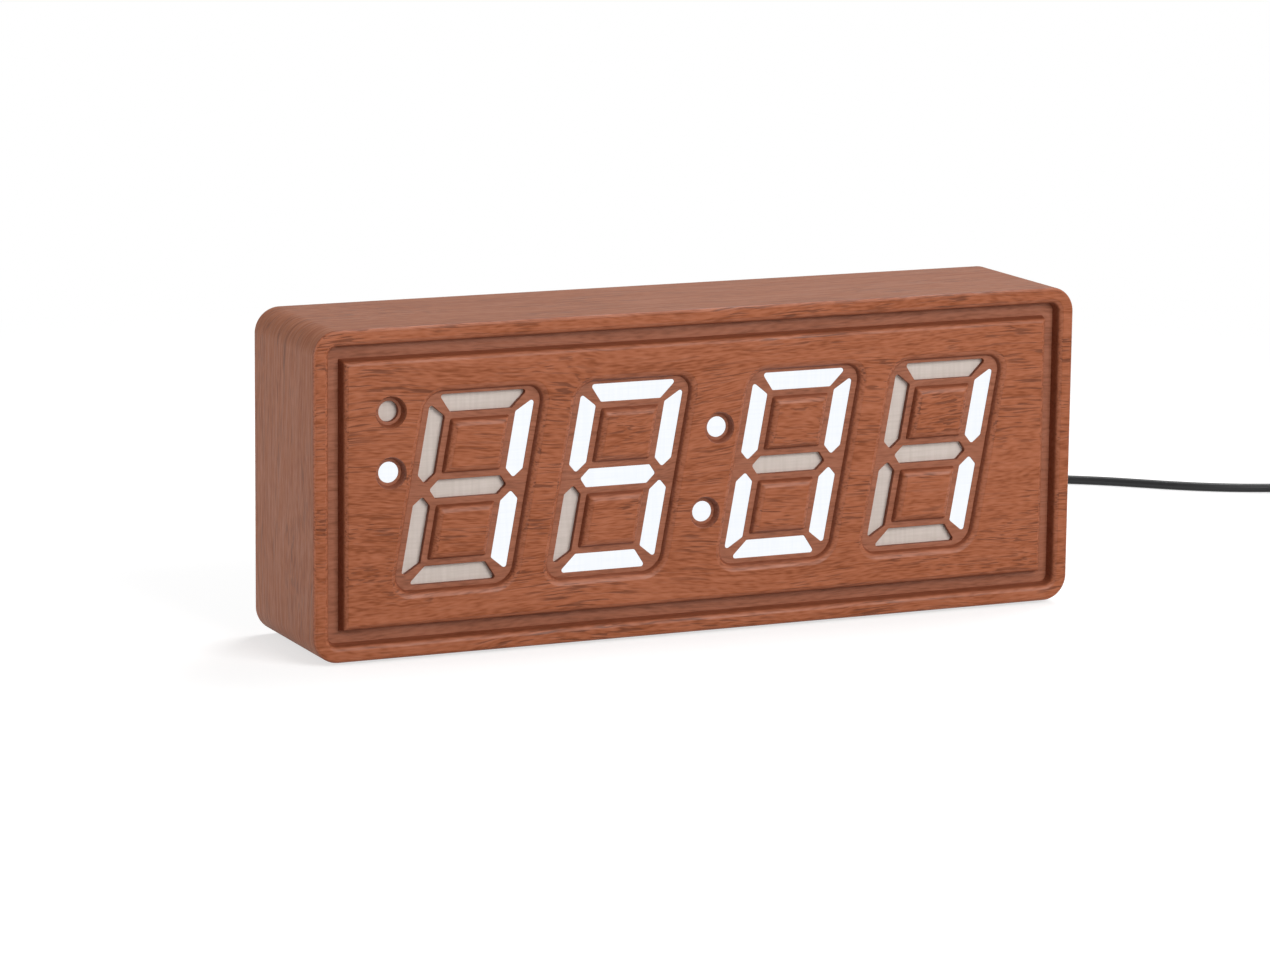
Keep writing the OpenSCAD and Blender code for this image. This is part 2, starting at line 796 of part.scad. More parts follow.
module plunger(x) {
  color("#d8d4c8") bar(x, keys_z, plunger_y, plunger_end_y - plunger_y, plunger_d / 2);
}

module key(x) {
  cap_y = cover_front_y;
  cap_l = cover_back_y + key_proud - cap_y;
  crown = key_proud / 2;
  color("#2c2b2b") {
    bar(x, keys_z, plunger_end_y, key_stem_l, key_stem_r);
    bar(x, keys_z, cover_front_y - key_collar_t, key_collar_t, key_collar_d / 2);
    bar(x, keys_z, cap_y, cap_l - crown, key_d / 2);
    taper_bar(x, keys_z, cap_y + cap_l - crown, crown, key_d / 2, key_d / 2 - crown);
  }
}

module mode_key() { key(KEYS_X[0]); }
module down_key() { key(KEYS_X[1]); }
module up_key() { key(KEYS_X[2]); }
module alarm_key() { key(KEYS_X[3]); }
module mode_plunger() { plunger(KEYS_X[0]); }
module down_plunger() { plunger(KEYS_X[1]); }
module up_plunger() { plunger(KEYS_X[2]); }
module alarm_plunger() { plunger(KEYS_X[3]); }

// Battery

holder_wall = 1.4;
holder_floor = 1.2;
holder_rim = 0.5;
contact_t = 0.3;
contact_w = 6;
cell_y = control_back_y + holder_floor + contact_t;
holder_r = cell_d / 2 + fit_gap + holder_wall;

// The cup on the control board that the coin cell lies in, slit at both sides for the contacts
module cell_holder() {
  color("#222224") difference() {
    bar(cell_x, cell_z, control_back_y, holder_floor + contact_t + cell_t + holder_rim, holder_r);
    bar(cell_x, cell_z, control_back_y + holder_floor, holder_rim + contact_t + cell_t + over,
      cell_d / 2 + fit_gap);
    block(cell_x, cell_z, control_back_y + holder_floor, 2 * holder_r + over,
      contact_w + 2 * fit_gap, contact_t + cell_t + holder_rim + over);
  }
}

module coin_cell() {
  step = cell_t / 8;
  color("#c4c6c8") {
    bar(cell_x, cell_z, cell_y + step, cell_t - step, cell_d / 2);
    bar(cell_x, cell_z, cell_y, step, cell_d / 2 - cell_t / 2);
  }
}

// The strip under the cell and the clip that comes over its edge
module cell_contacts() {
  clip_out = holder_r;
  clip_in = cell_d / 4;
  color("#cdb46a") {
    block(cell_x - holder_r / 2, cell_z, control_back_y + holder_floor,
      holder_r, contact_w, contact_t);
    translate([cell_x, 0, 0]) {
      translate([clip_in, cell_y + cell_t, cell_z - contact_w / 2])
        cube([clip_out - clip_in, contact_t, contact_w]);
      translate([clip_out - contact_t, control_back_y + holder_floor, cell_z - contact_w / 2])
        cube([contact_t, cell_t + 2 * contact_t, contact_w]);
    }
  }
}

// The battery door turns on two small pins at its lower edge
door_r = door_t / 2;
hinge_y = cover_back_y - door_r;
hinge_z = cell_z - door_w / 2 + door_r;
hinge_pin_r = 0.5;
hinge_pin_l = 1;
hinge_gap = 0.06;
door_nick_w = 8;
door_nick_r = 0.5;

module battery_door() {
  color("#2c2b2b") difference() {
    union() {
      block(cell_x, hinge_z + (door_w - door_r) / 2, cover_back_y - door_t,
        door_w, door_w - door_r, door_t);
      translate([cell_x - door_w / 2, hinge_y, hinge_z]) rotate([0, 90, 0])
        cylinder(h = door_w, r = door_r);
      translate([cell_x - door_w / 2 - hinge_pin_l, hinge_y, hinge_z]) rotate([0, 90, 0])
        cylinder(h = door_w + 2 * hinge_pin_l, r = hinge_pin_r);
    }
    translate([cell_x - door_nick_w / 2, cover_back_y, hinge_z + door_w - 3 * door_r])
      rotate([0, 90, 0]) cylinder(h = door_nick_w, r = door_nick_r);
  }
}

// Power socket

jack_w = 9;
jack_nose_r = 4;
jack_bore_r = barrel_d / 2 + fit_gap;
jack_pin_r = 0.6;
plug_gap = 0.3;
barrel_bore_r = jack_pin_r + fit_gap;
barrel_y = cover_back_y + plug_gap - barrel_l;

module power_jack() {
  color("#1c1c1e") difference() {
    union() {
      block(jack_x, jack_z, control_back_y, jack_w, jack_w, post_h);
      bar(jack_x, jack_z, control_back_y, cover_back_y - control_back_y, jack_nose_r);
    }
    bar(jack_x, jack_z, barrel_y - plug_gap, barrel_l + over, jack_bore_r);
  }
}

module jack_pin() {
  color("#d8c37c")
    bar(jack_x, jack_z, barrel_y - plug_gap, barrel_l - jack_nose_r / 2, jack_pin_r);
}

// Rear cover

cover_w = hollow_w - 2 * cover_gap;
cover_h = hollow_h - 2 * cover_gap;
SOUND_HOLES = 6;
sound_hole_r = 0.8;
sound_ring_r = 3.2;
door_seat_w = 1.6;

module rear_cover() {
  color("#2f2e2d") difference() {
    union() {
      plate(cover_front_y, cover_t) translate([0, case_mid_z])
        round_rect(cover_w, cover_h, hollow_r);
      for (at = POSTS) bar(at.x, at.y, control_back_y, post_h + over, post_d / 2);
    }
    for (at = POSTS)
      bar(at.x, at.y, control_back_y - over, over + post_h * 2 / 3, small_screw_r + thread_gap);
    for (at = COVER_SCREWS) {
      bar(at.x, at.y, cover_front_y - over, cover_t + 2 * over, cover_screw_r + slide_gap);
      taper_bar(at.x, at.y, cover_back_y - cover_head_h, cover_head_h,
        cover_screw_r + slide_gap, cover_head_r + slide_gap);
    }
    for (x = KEYS_X)
      bar(x, keys_z, cover_front_y - over, cover_t + 2 * over, key_d / 2 + slide_gap);
    bar(jack_x, jack_z, cover_front_y - over, cover_t + 2 * over, jack_nose_r + slide_gap);
    sound_holes();
    door_opening();
  }
}

module sound_holes() {
  bar(buzzer_x, buzzer_z, cover_front_y - over, cover_t + 2 * over, sound_hole_r);
  for (i = [0:SOUND_HOLES - 1]) {
    a = 360 * i / SOUND_HOLES;
    bar(buzzer_x + sound_ring_r * cos(a), buzzer_z + sound_ring_r * sin(a),
      cover_front_y - over, cover_t + 2 * over, sound_hole_r);
  }
}

// The door's bed, the way through to the cell and the two pin holes
module door_opening() {
  bed_w = door_w + 2 * slide_gap;
  block(cell_x, cell_z, cover_back_y - door_t - fit_gap, bed_w, bed_w, door_t + fit_gap + over);
  block(cell_x, cell_z, cover_front_y - over, door_w - 2 * door_seat_w, door_w - 2 * door_seat_w,
    cover_t + 2 * over);
  translate([cell_x - bed_w / 2 - hinge_pin_l, hinge_y, hinge_z]) rotate([0, 90, 0])
    cylinder(h = bed_w + 2 * hinge_pin_l, r = hinge_pin_r + hinge_gap);
}

cover_screw_tip_y = cover_back_y - cover_screw_l;

// Four sunk screws that hold the rear cover to the glue blocks
module rear_screws() {
  color("#5a5b5d") for (at = COVER_SCREWS) difference() {
    union() {
      bar(at.x, at.y, cover_screw_tip_y, cover_screw_l, cover_screw_r);
      taper_bar(at.x, at.y, cover_back_y - cover_head_h, cover_head_h, cover_screw_r, cover_head_r);
    }
    for (turn = [0, 90]) translate([at.x, cover_back_y, at.y]) rotate([0, turn, 0])
      translate([-cover_head_r * 2 / 3, -cover_head_h / 2, -slot_w / 2])
      cube([cover_head_r * 4 / 3, cover_head_h, slot_w]);
  }
}

// Lead

grip_y = cover_back_y + plug_gap;
relief_y = grip_y + grip_l;
lead_y = relief_y + relief_l;
GRIP_FLUTES = 12;
grip_flute_r = 0.5;
relief_r = 2.6;
relief_lip = 0.5;
relief_end_r = cord_d / 2 + relief_lip;
RELIEF_RINGS = 5;

module plug_barrel() {
  color("#c8ccd0") difference() {
    bar(jack_x, jack_z, barrel_y, barrel_l, barrel_d / 2);
    bar(jack_x, jack_z, barrel_y - over, barrel_l, barrel_bore_r);
  }
}

// The round grip, with flutes along it
module plug_grip() {
  chamfer = (grip_d / 2 - relief_r) / 2;
  color("#1d1d1f") difference() {
    union() {
      taper_bar(jack_x, jack_z, grip_y, chamfer, grip_d / 2 - chamfer, grip_d / 2);
      bar(jack_x, jack_z, grip_y + chamfer, grip_l - 2 * chamfer, grip_d / 2);
      taper_bar(jack_x, jack_z, relief_y - chamfer, chamfer, grip_d / 2, relief_r + chamfer);
    }
    for (i = [0:GRIP_FLUTES - 1]) {
      a = 360 * i / GRIP_FLUTES;
      bar(jack_x + grip_d / 2 * cos(a), jack_z + grip_d / 2 * sin(a),
        grip_y + 3 * chamfer, grip_l - 6 * chamfer, grip_flute_r);
    }
  }
}

// A tapered sleeve round the lead's exit, with rings cut into it
module strain_relief(l, r1, r2) {
  ring_pitch = l / (RELIEF_RINGS + 1);
  rotate([-90, 0, 0]) difference() {
    cylinder(h = l, r1 = r1, r2 = r2);
    for (i = [1:RELIEF_RINGS]) translate([0, 0, i * ring_pitch - ring_pitch / 6])
      rotate_extrude() translate([r2, 0]) square([r1, ring_pitch / 3]);
  }
}

module lead_relief() {
  color("#1d1d1f") translate([jack_x, relief_y, jack_z])
    strain_relief(relief_l, relief_r, relief_end_r);
}

// Where the lead lies between the strain relief and the coil: straight back from the clock, down
// to the surface, and round in a loose bow
lead_points = [
  [64, 56, 28], [64, 65, 26], [65, 75, 20], [67, 85, 11.5], [70, 95, 4.8], [75, 105, 1.8],
  [83, 115, 1.3], [95, 124, 1.3], [110, 130, 1.3], [126, 132, 1.3], [142, 131, 1.3],
  [157, 127, 1.3], [170, 121, 1.3], [180, 115, 1.3], [187, 110, 1.3], [194, 104, 1.3],
  [201, 98, 1.3], [208, 93, 1.3], [216, 88.5, 1.3], [226, 84, 1.4], [235, 80, 1.6]
];

// The coil: it winds in along the lower layer and out again along the upper one
tie_t = 0.5;
coil_at = [240, 56];
coil_start = 72;
coil_pitch = cord_d + coil_gap;
coil_z = tie_t + fit_gap + cord_d / 2;
coil_span = coil_pitch * coil_turns / 2;
coil_out_r = coil_d / 2 + coil_span / 2;
COIL_STEPS = 24;
COIL_SIDES = 6;

// Height of the winding after u turns: it climbs in the half turn where the spiral reverses
function coil_climb(u) =
  let (t = max(0, min(1, (u - coil_turns / 2) * 2 + 0.5))) coil_z + coil_pitch * t * t * (3 - 2 * t);
function coil_radius(u) = coil_out_r - coil_pitch * min(u, coil_turns - u);
function coil_point(u) = let (a = coil_start - 360 * u)
  [coil_at.x + coil_radius(u) * cos(a), coil_at.y + coil_radius(u) * sin(a), coil_climb(u)];
function coil_heading(u) = let (a = coil_start - 360 * u) [sin(a), -cos(a), 0];

coil_count = round(coil_turns * COIL_STEPS);
coil_middle = [for (i = [0:coil_count]) coil_point(i * coil_turns / coil_count)];
coil_path = concat(
  [coil_middle[0] - cord_d * coil_heading(0)],
  coil_middle,
  [coil_middle[coil_count] + cord_d * coil_heading(coil_turns)]
);
coil_entry = coil_path[0];
coil_exit = coil_path[len(coil_path) - 1];

// The end of the lead from the coil to the flat plug, measured from the middle of the coil
usb_at = [26, -8];
tail_points = [[10, 18, 4.6], [18, 12.5, 4.5], [23.6, 5, 4.3], [26, -4, 4]];

usb_x = coil_at.x + usb_at.x;
usb_y = coil_at.y + usb_at.y;
usb_z = usb_grip_t / 2;

function total(values, i = 0) = i >= len(values) ? 0 : values[i] + total(values, i + 1);
function path_length(p) = total([for (i = [1:len(p) - 1]) norm(p[i] - p[i - 1])]);

// A smooth curve through points, with n steps between two of them
function smooth(p, n) = [
  for (i = [0:len(p) - 2])
    let (
      a = p[max(i - 1, 0)], b = p[i], c = p[i + 1], d = p[min(i + 2, len(p) - 1)]
    )
    for (k = [0:n - 1])
      let (t = k / n)
      (2 * b + (c - a) * t + (2 * a - 5 * b + 4 * c - d) * t ^ 2 + (3 * b - a - 3 * c + d) * t ^ 3) / 2,
  p[len(p) - 1]
];

// A round cord along a path, closed by end faces that are square to the directions at its ends
module cord(path, sides, first_run, last_run) {
  last = len(path) - 1;
  rings = [
    for (i = [0:last])
      let (
        run = i == 0 ? first_run : i == last ? last_run : unit(path[i + 1] - path[i - 1]),
        side = unit(cross(run, [0, 0, 1])),
        up = cross(side, run)
      )
      for (k = [0:sides - 1])
        let (a = 360 * k / sides)
        path[i] + cord_d / 2 * (cos(a) * side + sin(a) * up)
  ];
  polyhedron(
    points = rings,
    faces = concat(
      [[for (k = [sides - 1:-1:0]) k]],
      [
        for (i = [0:last - 1]) for (k = [0:sides - 1])
          let (a = i * sides + k, b = i * sides + (k + 1) % sides)
          each [[a, b, b + sides], [a, b + sides, a + sides]]
      ],
      [[for (k = [0:sides - 1]) last * sides + k]]
    )
  );
}

CORD_SIDES = 8;
CORD_STEPS = 2;
lead_path = smooth(concat([[jack_x, lead_y, jack_z]], lead_points, [coil_entry]), CORD_STEPS);
tail_path = smooth(
  concat(
    [coil_exit],
    [for (p = tail_points) [coil_at.x + p.x, coil_at.y + p.y, p.z]],
    [[usb_x, usb_y, usb_z]]
  ), CORD_STEPS
);

module cord_lead() {
  color("#141416") cord(lead_path, CORD_SIDES, [0, 1, 0], coil_heading(0));
}

module cord_coil() {
  color("#141416") cord(coil_path, COIL_SIDES, coil_heading(0), coil_heading(coil_turns));
}

module cord_tail() {
  color("#141416") cord(tail_path, CORD_SIDES, coil_heading(coil_turns), [0, -1, 0]);
}

// Least gap between two loops of the coil, and the lead's length
coil_least = min([
  for (i = [0:coil_count]) for (j = [i + COIL_STEPS / 2:coil_count])
    norm(coil_middle[i] - coil_middle[j])
]) - cord_d;
echo(coil_least_gap = coil_least);
echo(lead_lowest = min([for (p = lead_path) p.z]) - cord_d / 2);
echo(
  cord_length = path_length(lead_path) + path_length(coil_path) + path_length(tail_path),
  lead = path_length(lead_path), coil = path_length(coil_path), tail = path_length(tail_path)
);

// A flat band round the coil's loops
tie_w = 5;
tie_angle = 200;

module cord_tie() {
  in_w = coil_span + cord_d + 2 * fit_gap;
  in_h = cord_d + coil_pitch + 2 * fit_gap;
  color("#2a2a2c") translate([coil_at.x, coil_at.y, tie_t + in_h / 2]) rotate([0, 0, tie_angle])
    translate([coil_d / 2, tie_w / 2, 0]) rotate([90, 0, 0]) linear_extrude(tie_w) difference() {
      round_rect(in_w + 2 * tie_t, in_h + 2 * tie_t, cord_d / 2);
      round_rect(in_w, in_h, cord_d / 2 - tie_t);
    }
}

// Flat plug. It lies on the surface beside the coil and points to the front.
usb_relief_l = 11;
usb_relief_r = 2.8;
usb_grip_y = usb_y - usb_relief_l;
usb_shell_y = usb_grip_y - usb_grip_l;
usb_sheet_t = 0.3;
usb_corner_r = 2.4;
usb_window_w = 2.4;
usb_window_l = 2;
usb_tongue_w = 10.6;
usb_tongue_t = 1.8;
usb_contact_w = 1.1;
usb_contact_t = 0.15;
usb_contact_pitch = 2.4;
USB_CONTACTS = 4;

module usb_relief() {
  color("#1d1d1f") translate([usb_x, usb_grip_y, usb_z])
    strain_relief(usb_relief_l, usb_relief_r, relief_end_r);
}

module usb_grip() {
  nose_l = usb_grip_l / 6;
  color("#1d1d1f") {
    plate(usb_shell_y, usb_grip_l) translate([usb_x, usb_z])
      round_rect(usb_grip_w - 2 * fit_gap, usb_grip_t - 2 * fit_gap, usb_corner_r);
    plate(usb_shell_y + nose_l, usb_grip_l - 2 * nose_l) translate([usb_x, usb_z])
      round_rect(usb_grip_w, usb_grip_t, usb_corner_r);
  }
}

module usb_shell() {
  color("#c8ccd0") difference() {
    block(usb_x, usb_z, usb_shell_y - usb_shell_l, usb_shell_w, usb_shell_t, usb_shell_l);
    block(usb_x, usb_z, usb_shell_y - usb_shell_l - over,
      usb_shell_w - 2 * usb_sheet_t, usb_shell_t - 2 * usb_sheet_t, usb_shell_l + 2 * over);
    for (s = [-1, 1])
      block(usb_x + s * usb_shell_w / 4, usb_z, usb_shell_y - usb_shell_l / 2,
        usb_window_w, usb_shell_t + over, usb_window_l);
  }
}

// The plastic tongue fills the lower half of the shell
module usb_tongue() {
  tongue_l = usb_shell_l - 2 * usb_sheet_t;
  color("#e6e6e2")
    block(usb_x, usb_z - usb_shell_t / 2 + usb_sheet_t + usb_tongue_t / 2,
      usb_shell_y - tongue_l, usb_tongue_w, usb_tongue_t, tongue_l);
}

module usb_contacts() {
  contact_l = usb_shell_l * 3 / 4;
  color("#d8b45a") for (i = [0:USB_CONTACTS - 1])
    block(usb_x + (i - (USB_CONTACTS - 1) / 2) * usb_contact_pitch,
      usb_z - usb_shell_t / 2 + usb_sheet_t + usb_tongue_t + usb_contact_t / 2,
      usb_shell_y - contact_l, usb_contact_w, usb_contact_t, contact_l);
}

case_sleeve();
front_board();
glue_blocks();
case_pads();
display_film();
light_box();
display_board();
segment_lamps();
driver_chips();
display_socket();
display_screws();
ribbon_cable();
control_board();
control_socket();
controller_chip();
clock_crystal();
smoothing_capacitors();
alarm_buzzer();
key_switches();
control_screws();
mode_key();
down_key();
up_key();
alarm_key();
mode_plunger();
down_plunger();
up_plunger();
alarm_plunger();
cell_holder();
coin_cell();
cell_contacts();
battery_door();
power_jack();
jack_pin();
rear_cover();
rear_screws();
plug_barrel();
plug_grip();
lead_relief();
cord_lead();
cord_coil();
cord_tail();
cord_tie();
usb_relief();
usb_grip();
usb_shell();
usb_tongue();
usb_contacts();
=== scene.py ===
# %% [markdown]
# A wooden alarm clock
#
# The clock is made like a small picture frame. Thin wood is bent into a sleeve, a milled board is
# glued into its front, lamps shine through a film behind the board, and a black cover with four
# keys closes the back. Each cell below adds one piece or one finish. The cell before it says what
# the real thing is, how it could be made here, and why this way was chosen.

import json
import math

import bmesh
import bpy
from mathutils import Matrix, Vector

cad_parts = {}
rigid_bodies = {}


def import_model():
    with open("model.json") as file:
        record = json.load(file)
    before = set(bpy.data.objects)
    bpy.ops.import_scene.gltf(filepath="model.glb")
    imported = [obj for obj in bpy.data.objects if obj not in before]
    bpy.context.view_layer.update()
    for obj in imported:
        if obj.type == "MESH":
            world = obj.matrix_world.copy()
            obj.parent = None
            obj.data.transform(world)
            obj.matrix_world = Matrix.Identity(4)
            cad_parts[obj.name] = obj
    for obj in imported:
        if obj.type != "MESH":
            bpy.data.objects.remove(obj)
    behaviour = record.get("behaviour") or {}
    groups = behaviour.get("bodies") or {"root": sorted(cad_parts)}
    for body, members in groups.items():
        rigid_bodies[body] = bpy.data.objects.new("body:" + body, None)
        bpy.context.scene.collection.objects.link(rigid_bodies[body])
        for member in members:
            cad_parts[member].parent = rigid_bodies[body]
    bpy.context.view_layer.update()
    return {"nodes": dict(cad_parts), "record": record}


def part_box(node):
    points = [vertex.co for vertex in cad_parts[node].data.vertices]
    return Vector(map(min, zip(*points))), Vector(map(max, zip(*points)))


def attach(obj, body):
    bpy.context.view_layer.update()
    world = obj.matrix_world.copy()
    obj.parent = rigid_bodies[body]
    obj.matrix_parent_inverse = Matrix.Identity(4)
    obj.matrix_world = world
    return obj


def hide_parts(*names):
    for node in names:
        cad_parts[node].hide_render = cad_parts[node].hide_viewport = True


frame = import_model()
NODES = frame["nodes"]
MM = 0.001

# %% [markdown]
# Camera
#
# The case is a box, so the lines of its edges in the photograph fix the camera: they meet in two
# vanishing points, which give the angles and the lens. The picture is 1270 pixels wide and the
# sensor 36 mm, so the lens in millimetres is the focal length in pixels times 36 / 1270.

# %% Camera
PICTURE_W = 1270
SENSOR_W = 36.0
FOCAL_PIXELS = 4919.7
AIM = Vector((-18.45, -20.0, 39.275)) * MM
DISTANCE = 1170.65 * MM
AZIMUTH = math.radians(-24.586)
ELEVATION = math.radians(10.798)
ROLL = math.radians(0.601)
CLIP_START = 0.01

back = Vector((
    math.sin(AZIMUTH) * math.cos(ELEVATION),
    -math.cos(AZIMUTH) * math.cos(ELEVATION),
    math.sin(ELEVATION),
))
level_right = (-back).cross(Vector((0, 0, 1))).normalized()
level_up = level_right.cross(-back)
right = level_right * math.cos(ROLL) + level_up * math.sin(ROLL)
up = level_up * math.cos(ROLL) - level_right * math.sin(ROLL)

camera = bpy.data.objects.new("camera", bpy.data.cameras.new("camera"))
camera.data.sensor_width = SENSOR_W
camera.data.lens = FOCAL_PIXELS * SENSOR_W / PICTURE_W
camera.data.clip_start = CLIP_START
camera.matrix_world = (
    Matrix.Translation(AIM + back * DISTANCE) @ Matrix((right, up, back)).transposed().to_4x4()
)
bpy.context.scene.collection.objects.link(camera)
bpy.context.scene.camera = camera
print("camera: lens", round(camera.data.lens, 1), "mm at", [round(c, 3) for c in camera.location])

# %% [markdown]
# Small helpers for finishes
#
# Colours are written as sRGB hex values, as a colour picker shows them, but the renderer works in
# linear light, so one function turns the one into the other. Another adds one node to a tree: its
# settings come as keywords, and a dictionary gives each socket a value or a link. The rest are the
# few steps that all finishes share: a noise, a sum, a change of range, a blend, bumps and the
# surface at the end. Their sizes are in millimetres.

# %% Colours and nodes
FINISHES = {}


def colour(code):
    """The linear colour of an sRGB hex code such as #a05a3c"""
    parts = [int(code[i:i + 2], 16) / 255 for i in (1, 3, 5)]
    return (*(p / 12.92 if p < 0.04045 else ((p + 0.055) / 1.055) ** 2.4 for p in parts), 1.0)


def add(tree, kind, inputs=None, **settings):
    """Adds a node with its settings and links"""
    node = tree.nodes.new(kind)
    for key, value in settings.items():
        setattr(node, key, value)
    for socket, value in (inputs or {}).items():
        if isinstance(value, bpy.types.NodeSocket):
            tree.links.new(value, node.inputs[socket])
        else:
            node.inputs[socket].default_value = value
    return node


def new_finish(name):
    """An empty material, and its tree that is ready for nodes"""
    finish = bpy.data.materials.new(name)
    finish.use_nodes = True
    finish.node_tree.nodes.clear()
    return finish, finish.node_tree


print("a red-brown in linear light:", [round(c, 3) for c in colour("#a05a3c")])

# %% Steps that all finishes share
NOISE_RANGE = (0.3, 0.7)
SMOOTH = "SMOOTHSTEP"


def reckon(tree, operation, *values, kind="ShaderNodeMath"):
    """The result of one sum, of numbers or of vectors"""
    return add(tree, kind, dict(enumerate(values)), operation=operation).outputs[0]


def solid_place(tree, attribute=None):
    """Where a point lies in its solid, or what the attribute of that name says"""
    if attribute:
        source = add(tree, "ShaderNodeAttribute", attribute_name=attribute).outputs["Vector"]
    else:
        source = add(tree, "ShaderNodeTexCoord").outputs["Object"]
    return reckon(tree, "DIVIDE", source, (MM,) * 3, kind="ShaderNodeVectorMath")


def noise(tree, spot, size, detail, output="Fac"):
    """A noise whose patches have that size along X, Y and Z"""
    cell = reckon(tree, "DIVIDE", spot, size, kind="ShaderNodeVectorMath")
    return add(tree, "ShaderNodeTexNoise", {
        "Vector": cell, "Scale": 1.0, "Detail": detail,
    }).outputs[output]


def spread(tree, value, low, high, start=0.0, end=1.0, kind="LINEAR"):
    """A value moved from the range low to high into the range start to end"""
    return add(tree, "ShaderNodeMapRange", {
        "Value": value, "From Min": low, "From Max": high, "To Min": start, "To Max": end,
    }, interpolation_type=kind).outputs[0]


def blend(tree, share, first, second):
    """A mix of two colours, each of them a hex code, a value or a link"""
    first, second = (colour(c) if isinstance(c, str) else c for c in (first, second))
    return add(tree, "ShaderNodeMix", {0: share, 6: first, 7: second}, data_type="RGBA").outputs[2]


def bumps(tree, height, depth, **settings):
    """The direction of a surface with bumps of that depth"""
    return add(tree, "ShaderNodeBump", {"Height": height, "Distance": depth * MM}, **settings).outputs[0]


def end_in_surface(tree, inputs):
    """Ends a finish in a surface with those inputs"""
    surface = add(tree, "ShaderNodeBsdfPrincipled", inputs)
    add(tree, "ShaderNodeOutputMaterial", {"Surface": surface.outputs[0]})


print("a noise is spread from", NOISE_RANGE[0], "to", NOISE_RANGE[1], "because it seldom goes further")

# %% [markdown]
# Moulded plastic and soft vinyl
#
# A moulded surface is never one flat colour. The mould's spark-eroded texture stands a few
# hundredths of a millimetre high and breaks up the shine, and the pigment is a little uneven. Two
# noises give that: a fine one for the texture and the roughness, and a broad one for the colour.
# The grains of the real cover's texture are about 0.15 mm wide, so a grain and a gap take 0.3 mm.

# %% Plastics
PIGMENT_PATCH = 9.0
MOULD_SPREAD = (-0.07, 0.07)


def moulded(name, dark, light, roughness, grit=0.25, depth=0.01):
    """Moulded plastic with two shades, and a texture of that grit and depth"""
    finish, tree = new_finish(name)
    spot = solid_place(tree)
    fine = noise(tree, spot, (grit,) * 3, 2.0)
    broad = noise(tree, spot, (PIGMENT_PATCH,) * 3, 4.0)
    end_in_surface(tree, {
        "Base Color": blend(tree, broad, dark, light), "IOR": 1.5,
        "Roughness": spread(tree, fine, *NOISE_RANGE, *(roughness + s for s in MOULD_SPREAD)),
        "Normal": bumps(tree, fine, depth),
    })
    return finish


# Soft vinyl round copper strands: nearly black, with a satin shine that shows every bend.
FINISHES["lead_black"] = moulded("soft black vinyl", "#0e0e10", "#1a1a1c", 0.42, grit=0.5, depth=0.004)
# Glass-filled moulding of the cover and door: a dull, evenly grained charcoal.
FINISHES["cover_black"] = moulded("charcoal moulding", "#242423", "#2e2d2c", 0.62, grit=0.3, depth=0.02)
# Acetal keys: a smoother and slightly lighter black that fingers have polished.
FINISHES["key_black"] = moulded("polished black acetal", "#2a2a2a", "#363534", 0.38, grit=0.4)
# Housings of switches, the cell holder and the power socket.
FINISHES["switch_black"] = moulded("black nylon", "#1b1b1c", "#242425", 0.5)
# Epoxy round the chips: almost matt, with a grey bloom.
FINISHES["chip_black"] = moulded("black epoxy moulding", "#202022", "#2c2c30", 0.6, grit=0.15)
# Pigmented white polystyrene scatters light, so it looks soft and a little warm.
FINISHES["white_plastic"] = moulded("white polystyrene", "#dcdcd6", "#ecece6", 0.5, depth=0.004)
FINISHES["plunger_white"] = moulded("ivory acetal", "#cfcabb", "#dcd7ca", 0.4)
FINISHES["socket_cream"] = moulded("cream nylon", "#d8d2bf", "#e8e3d2", 0.5)
# The ribbon cable's vinyl is grey and slightly waxy.
FINISHES["cable_grey"] = moulded("grey ribbon vinyl", "#84868a", "#96989c", 0.45, depth=0.006)
# Shrink sleeve round the capacitors: a tight, shiny dark blue.
FINISHES["capacitor_sleeve"] = moulded("blue shrink sleeve", "#232c45", "#303b5a", 0.28, depth=0.003)
# Rubber pads: matt grey-brown with dust in the pores.
FINISHES["pad_rubber"] = moulded("grey rubber", "#312e2c", "#403c39", 0.85, grit=0.2, depth=0.02)
# Clear resin over yellow phosphor, as on small white lamps.
FINISHES["lamp_phosphor"] = moulded("lamp resin over phosphor", "#e8d98a", "#f4ecb0", 0.25, depth=0.002)
print("plastics:", len(FINISHES))

# %% [markdown]
# Metals
#
# Metal has no colour under its shine, so all that shows is how rough the shine is and which way
# the polishing scratches run. A noise stretched along one axis gives both. The scratches are about
# 0.02 mm wide on real parts; they are drawn 0.1 mm wide here, because finer ones would not show.

# %% Metals
SCRATCH_SHADE = 0.8
SCRATCH_DEPTH = 0.003
SCRATCH_SPREAD = (-0.08, 0.1)


def plated(name, base, roughness, scratch=(3.0, 0.1, 0.1)):
    """A plated or brushed metal; scratch is the size of a scratch along X, Y and Z"""
    finish, tree = new_finish(name)
    lines = noise(tree, solid_place(tree), scratch, 3.0)
    dark = (*(SCRATCH_SHADE * c for c in colour(base)[:3]), 1.0)
    end_in_surface(tree, {
        "Base Color": blend(tree, lines, base, dark), "Metallic": 1.0,
        "Roughness": spread(tree, lines, *NOISE_RANGE, *(roughness + s for s in SCRATCH_SPREAD)),
        "Normal": bumps(tree, lines, SCRATCH_DEPTH),
    })
    return finish


# Nickel plate is slightly warm and nearly mirror bright, with fine drawing lines along the shell.
FINISHES["nickel_can"] = plated("nickel plate", "#c9c7c2", 0.25, scratch=(0.1, 3.0, 0.1))
# Zinc-plated screws are duller and bluer.
FINISHES["screw_steel"] = plated("zinc plate", "#b4b8bb", 0.35)
# Screws blackened in an oxide bath keep a dark metal shine on their edges.
FINISHES["screw_dark"] = plated("black oxide steel", "#4a4a4c", 0.42)
